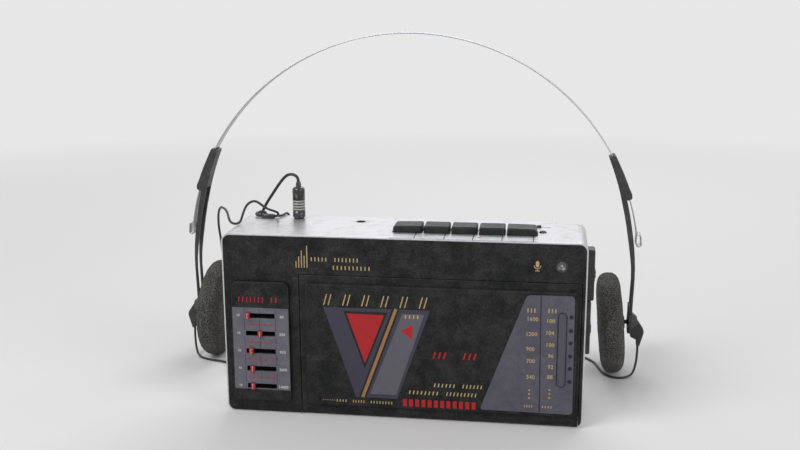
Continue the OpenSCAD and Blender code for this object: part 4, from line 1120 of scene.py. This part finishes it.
def foam_profile():
    """Radius and height of the pad's skin from the middle of its face, round the rim, to the lip at the back.

    The rim is a squared-off half circle: cosine and sine of the turn, each to the power 0.8."""
    turn = np.radians(np.linspace(-90, 90, 61))
    reach, rise = np.maximum(np.cos(turn), 0) ** 0.8, np.sign(turn) * np.abs(np.sin(turn)) ** 0.8
    rim = np.stack([17.5 + 9.0 * reach, 6.2 * rise], -1)
    return np.concatenate([[(0.3, -5.3), (9, -5.65)], rim, [(16.6, 6.05), (16.05, 5.4), (15.95, 4.4)]])


PAD_R, PAD_SIDES = 26.5, 320
CUP_POCKET = np.array([(15.95, 4.4), (16.1, 3.98), (20.9, 3.95), (21.12, 3.7), (21.12, -1.6), (20.9, -1.72),
                       (0.4, -1.74)])


def pad_shape(seed):
    """Foam skin with pores, then the smooth pocket for the cup, as rings round the pad's own axis."""
    foam_line, pocket = even_steps(foam_profile(), 0.5, int), even_steps(CUP_POCKET, 1.5, int)
    profile = np.concatenate([foam_line, pocket[1:]])
    rings = turned(profile, (0, 0, 0), sides=PAD_SIDES)
    across = unit(np.gradient(profile, axis=0))[:, ::-1] * (1, -1)
    outside = turned(across, (0, 0, 0), sides=PAD_SIDES)
    pores = lattice_noise(rings, 0.85, seed) + 0.6 * lattice_noise(rings + 7, 0.5, seed + 1) - 0.9
    swells = lattice_noise(rings, 9, seed + 2) - 0.5
    share = (np.arange(len(profile)) < len(foam_line) - 3) * np.clip(profile[:, 0] / 3, 0, 1)
    return rings + outside * (share[:, None] * (0.24 * pores + 0.25 * swells))[..., None]


def foam(name):
    """Open foam: pale grey cell walls with painted shade darkening the pores, lighter in large cloudy
    patches, rough everywhere.
    """
    material, tree = new_finish(name)
    where = place(tree)
    cells = add(tree, "TexVoronoi", {"feature": "F1"}, Vector=where, Scale=1 / 0.6).outputs["Distance"]
    pores = noise(tree, where, 0.5, 2, 0.6)
    clouds = noise(tree, where, 8, 3)
    walls = weighted(tree, (cells, 0.45), (pores, 0.8))
    share = remap(tree, weighted(tree, (walls, 1), (clouds, 0.2)), 0.56, 0.98)
    # painted shade: the near-black colour stands for shade inside the pores, the paler colour is the foam's
    # own grey
    base = blend(tree, share, rgb(0.014, 0.014, 0.013), rgb(0.185, 0.18, 0.165))
    return filled(material, Base_Color=base, Roughness=0.95, Specular_IOR_Level=0.15,
                  Normal=relief(tree, walls, 0.4))


FOAM = foam("pad_foam")
PIVOT_X, PIVOT_GAP = 118.0, 10.6


def to_ear(rings, side, lean):
    """From the pad's own axis to its ear: along the axis to the pivot, tipped by the lean, then mirrored."""
    tilt = math.radians(90 - lean)
    x, y, z = np.moveaxis(rings - (0, 0, PIVOT_GAP), -1, 0)
    pivot_z = PAD_R + 0.1 + PIVOT_GAP * math.sin(math.radians(lean))
    across = PIVOT_X + x * math.cos(tilt) + z * math.sin(tilt)
    height = pivot_z - x * math.sin(tilt) + z * math.cos(tilt)
    return points_of(PHONES_X + side * across, PHONES_Y + y, height)


for side, name, lean, seed in ((-1, "left", 3.5, 11), (1, "right", 4.5, 23)):
    rings = to_ear(pad_shape(seed), side, lean)
    rings[..., 2] = np.maximum(rings[..., 2], 0.02)
    pad = mesh_piece(name + "_foam_pad", *capped(rings), FOAM, name + "_cup", "pad_foam", [name + "_pad"])
    print(name, "pad", len(pad.data.polygons), "faces, lowest at", round(float(rings[..., 2].min()), 2), "mm")

# %% [markdown]
# ## Finishes of the pieces that stay as CAD made them
#
# The mechanism behind the door is exact in CAD already: reels, flywheel, belt, motor, board and cells. Each
# of them only needs its finish.

# %% Finishes by node
NODE_FINISHES = {
    # painted light: the equaliser's plate takes the lighter copy of the dial's grey-violet film
    VIOLET_FILM_PAINTED_LIT: ["equalizer_plate"],
    RED: ["dial_pointer"],
    BLACK: ["tape_holder", "board_parts", "volume_wheel", "tuning_wheel", "mode_switch", "jack_sockets"],
    ZINC: ["hinge_pins", "key_springs", "mechanism_plate", "motor", "head_bridge", "tape_heads",
           "case_screws", "battery_contacts"],
    BRASS: ["flywheel", "motor_pulley", "plug_pin"],
    CREAM: ["supply_reel", "take_up_reel"],
    RUBBER: ["drive_belt", "pinch_roller"],
    GREEN: ["circuit_board"],
    CELL: ["batteries"],
    SILVER: ["key_label_strip"],
}
for finish, names in NODE_FINISHES.items():
    for name in names:
        frame["nodes"][name].data.materials[0] = finish
print(sum(map(len, NODE_FINISHES.values())), "CAD nodes finished")

# %% [markdown]
# ## Floor and light
#
# The player stands on a plain pale sheet. One broad soft lamp from the upper left front makes the shine along
# the case's edges, a weaker one fills the right side, and one from behind draws the bright line on the
# headband.


# %% Studio
def floor_sheet():
    """A flat square 120 m wide at the level the object stands on."""
    half = 60
    mesh = bpy.data.meshes.new("floor")
    mesh.from_pydata([(-half, -half, 0), (half, -half, 0), (half, half, 0), (-half, half, 0)], [],
                     [(0, 1, 2, 3)])
    return show("floor", mesh)


def studio_lamp(name, place_m, target, width, height, watts):
    """A rectangular lamp that looks at the target."""
    lamp = bpy.data.lights.new(name, "AREA")
    lamp.shape, lamp.size, lamp.size_y, lamp.energy = "RECTANGLE", width, height, watts
    way = Vector(target) - Vector(place_m)
    show(name, lamp).matrix_world = (Matrix.Translation(place_m)
                                     @ way.to_track_quat("-Z", "Y").to_matrix().to_4x4())


def seen_rays(tree):
    """1 for what the camera, gloss and glass see, 0 for light that only reaches surfaces."""
    rays = add(tree, "LightPath").outputs
    return maths(tree, "MAXIMUM", maths(tree, "MAXIMUM", rays["Is Camera Ray"], rays["Is Glossy Ray"]),
                 rays["Is Transmission Ray"])


BACKDROP_FROM, BACKDROP_FULL = 0.4, 1.0          # metres from the middle of the floor


def pale_paper(shade):
    """Matt paper that keeps the shadow round the object and turns into an even backdrop further out.

    Past the outer radius, what the camera, gloss and glass see is a plain shade; light still meets paper."""
    material, tree = new_finish("pale_paper")
    filled(material, Base_Color=rgb(shade), Roughness=0.75, Specular_IOR_Level=0.2)
    away = add(tree, "VectorMath", {"operation": "LENGTH"}, i0=add(tree, "TexCoord").outputs["Object"])
    share = remap(tree, away.outputs["Value"], BACKDROP_FROM, BACKDROP_FULL)
    even = add(tree, "Emission", Color=rgb(shade), Strength=1.0).outputs["Emission"]
    mixed = add(tree, "MixShader", i0=maths(tree, "MULTIPLY", share, seen_rays(tree)),
                i1=tree.nodes["Principled BSDF"].outputs["BSDF"], i2=even)
    tree.links.new(mixed.outputs["Shader"], tree.nodes["Material Output"].inputs["Surface"])
    return material


floor = floor_sheet()
floor.data.materials.append(pale_paper(0.8))

studio_lamp("key_lamp", (-0.55, -0.55, 0.85), (0, 0, 0.05), 0.6, 0.5, 5.5)
studio_lamp("fill_lamp", (0.75, -0.5, 0.45), (0, 0, 0.05), 0.5, 0.5, 2)
studio_lamp("rim_lamp", (0.1, 0.75, 0.75), (0, 0, 0.08), 0.9, 0.35, 4)
world = bpy.data.worlds.new("studio")
world.use_nodes = True
air = world.node_tree
light = add(air, "Background", Color=rgb(1.0), Strength=0.35).outputs["Background"]
backdrop = add(air, "Background", Color=rgb(0.8), Strength=1.0).outputs["Background"]
mixed = add(air, "MixShader", i0=seen_rays(air), i1=light, i2=backdrop).outputs["Shader"]
air.links.new(mixed, air.nodes["World Output"].inputs["Surface"])
bpy.context.scene.world = world
bpy.context.scene.view_settings.view_transform = "Standard"
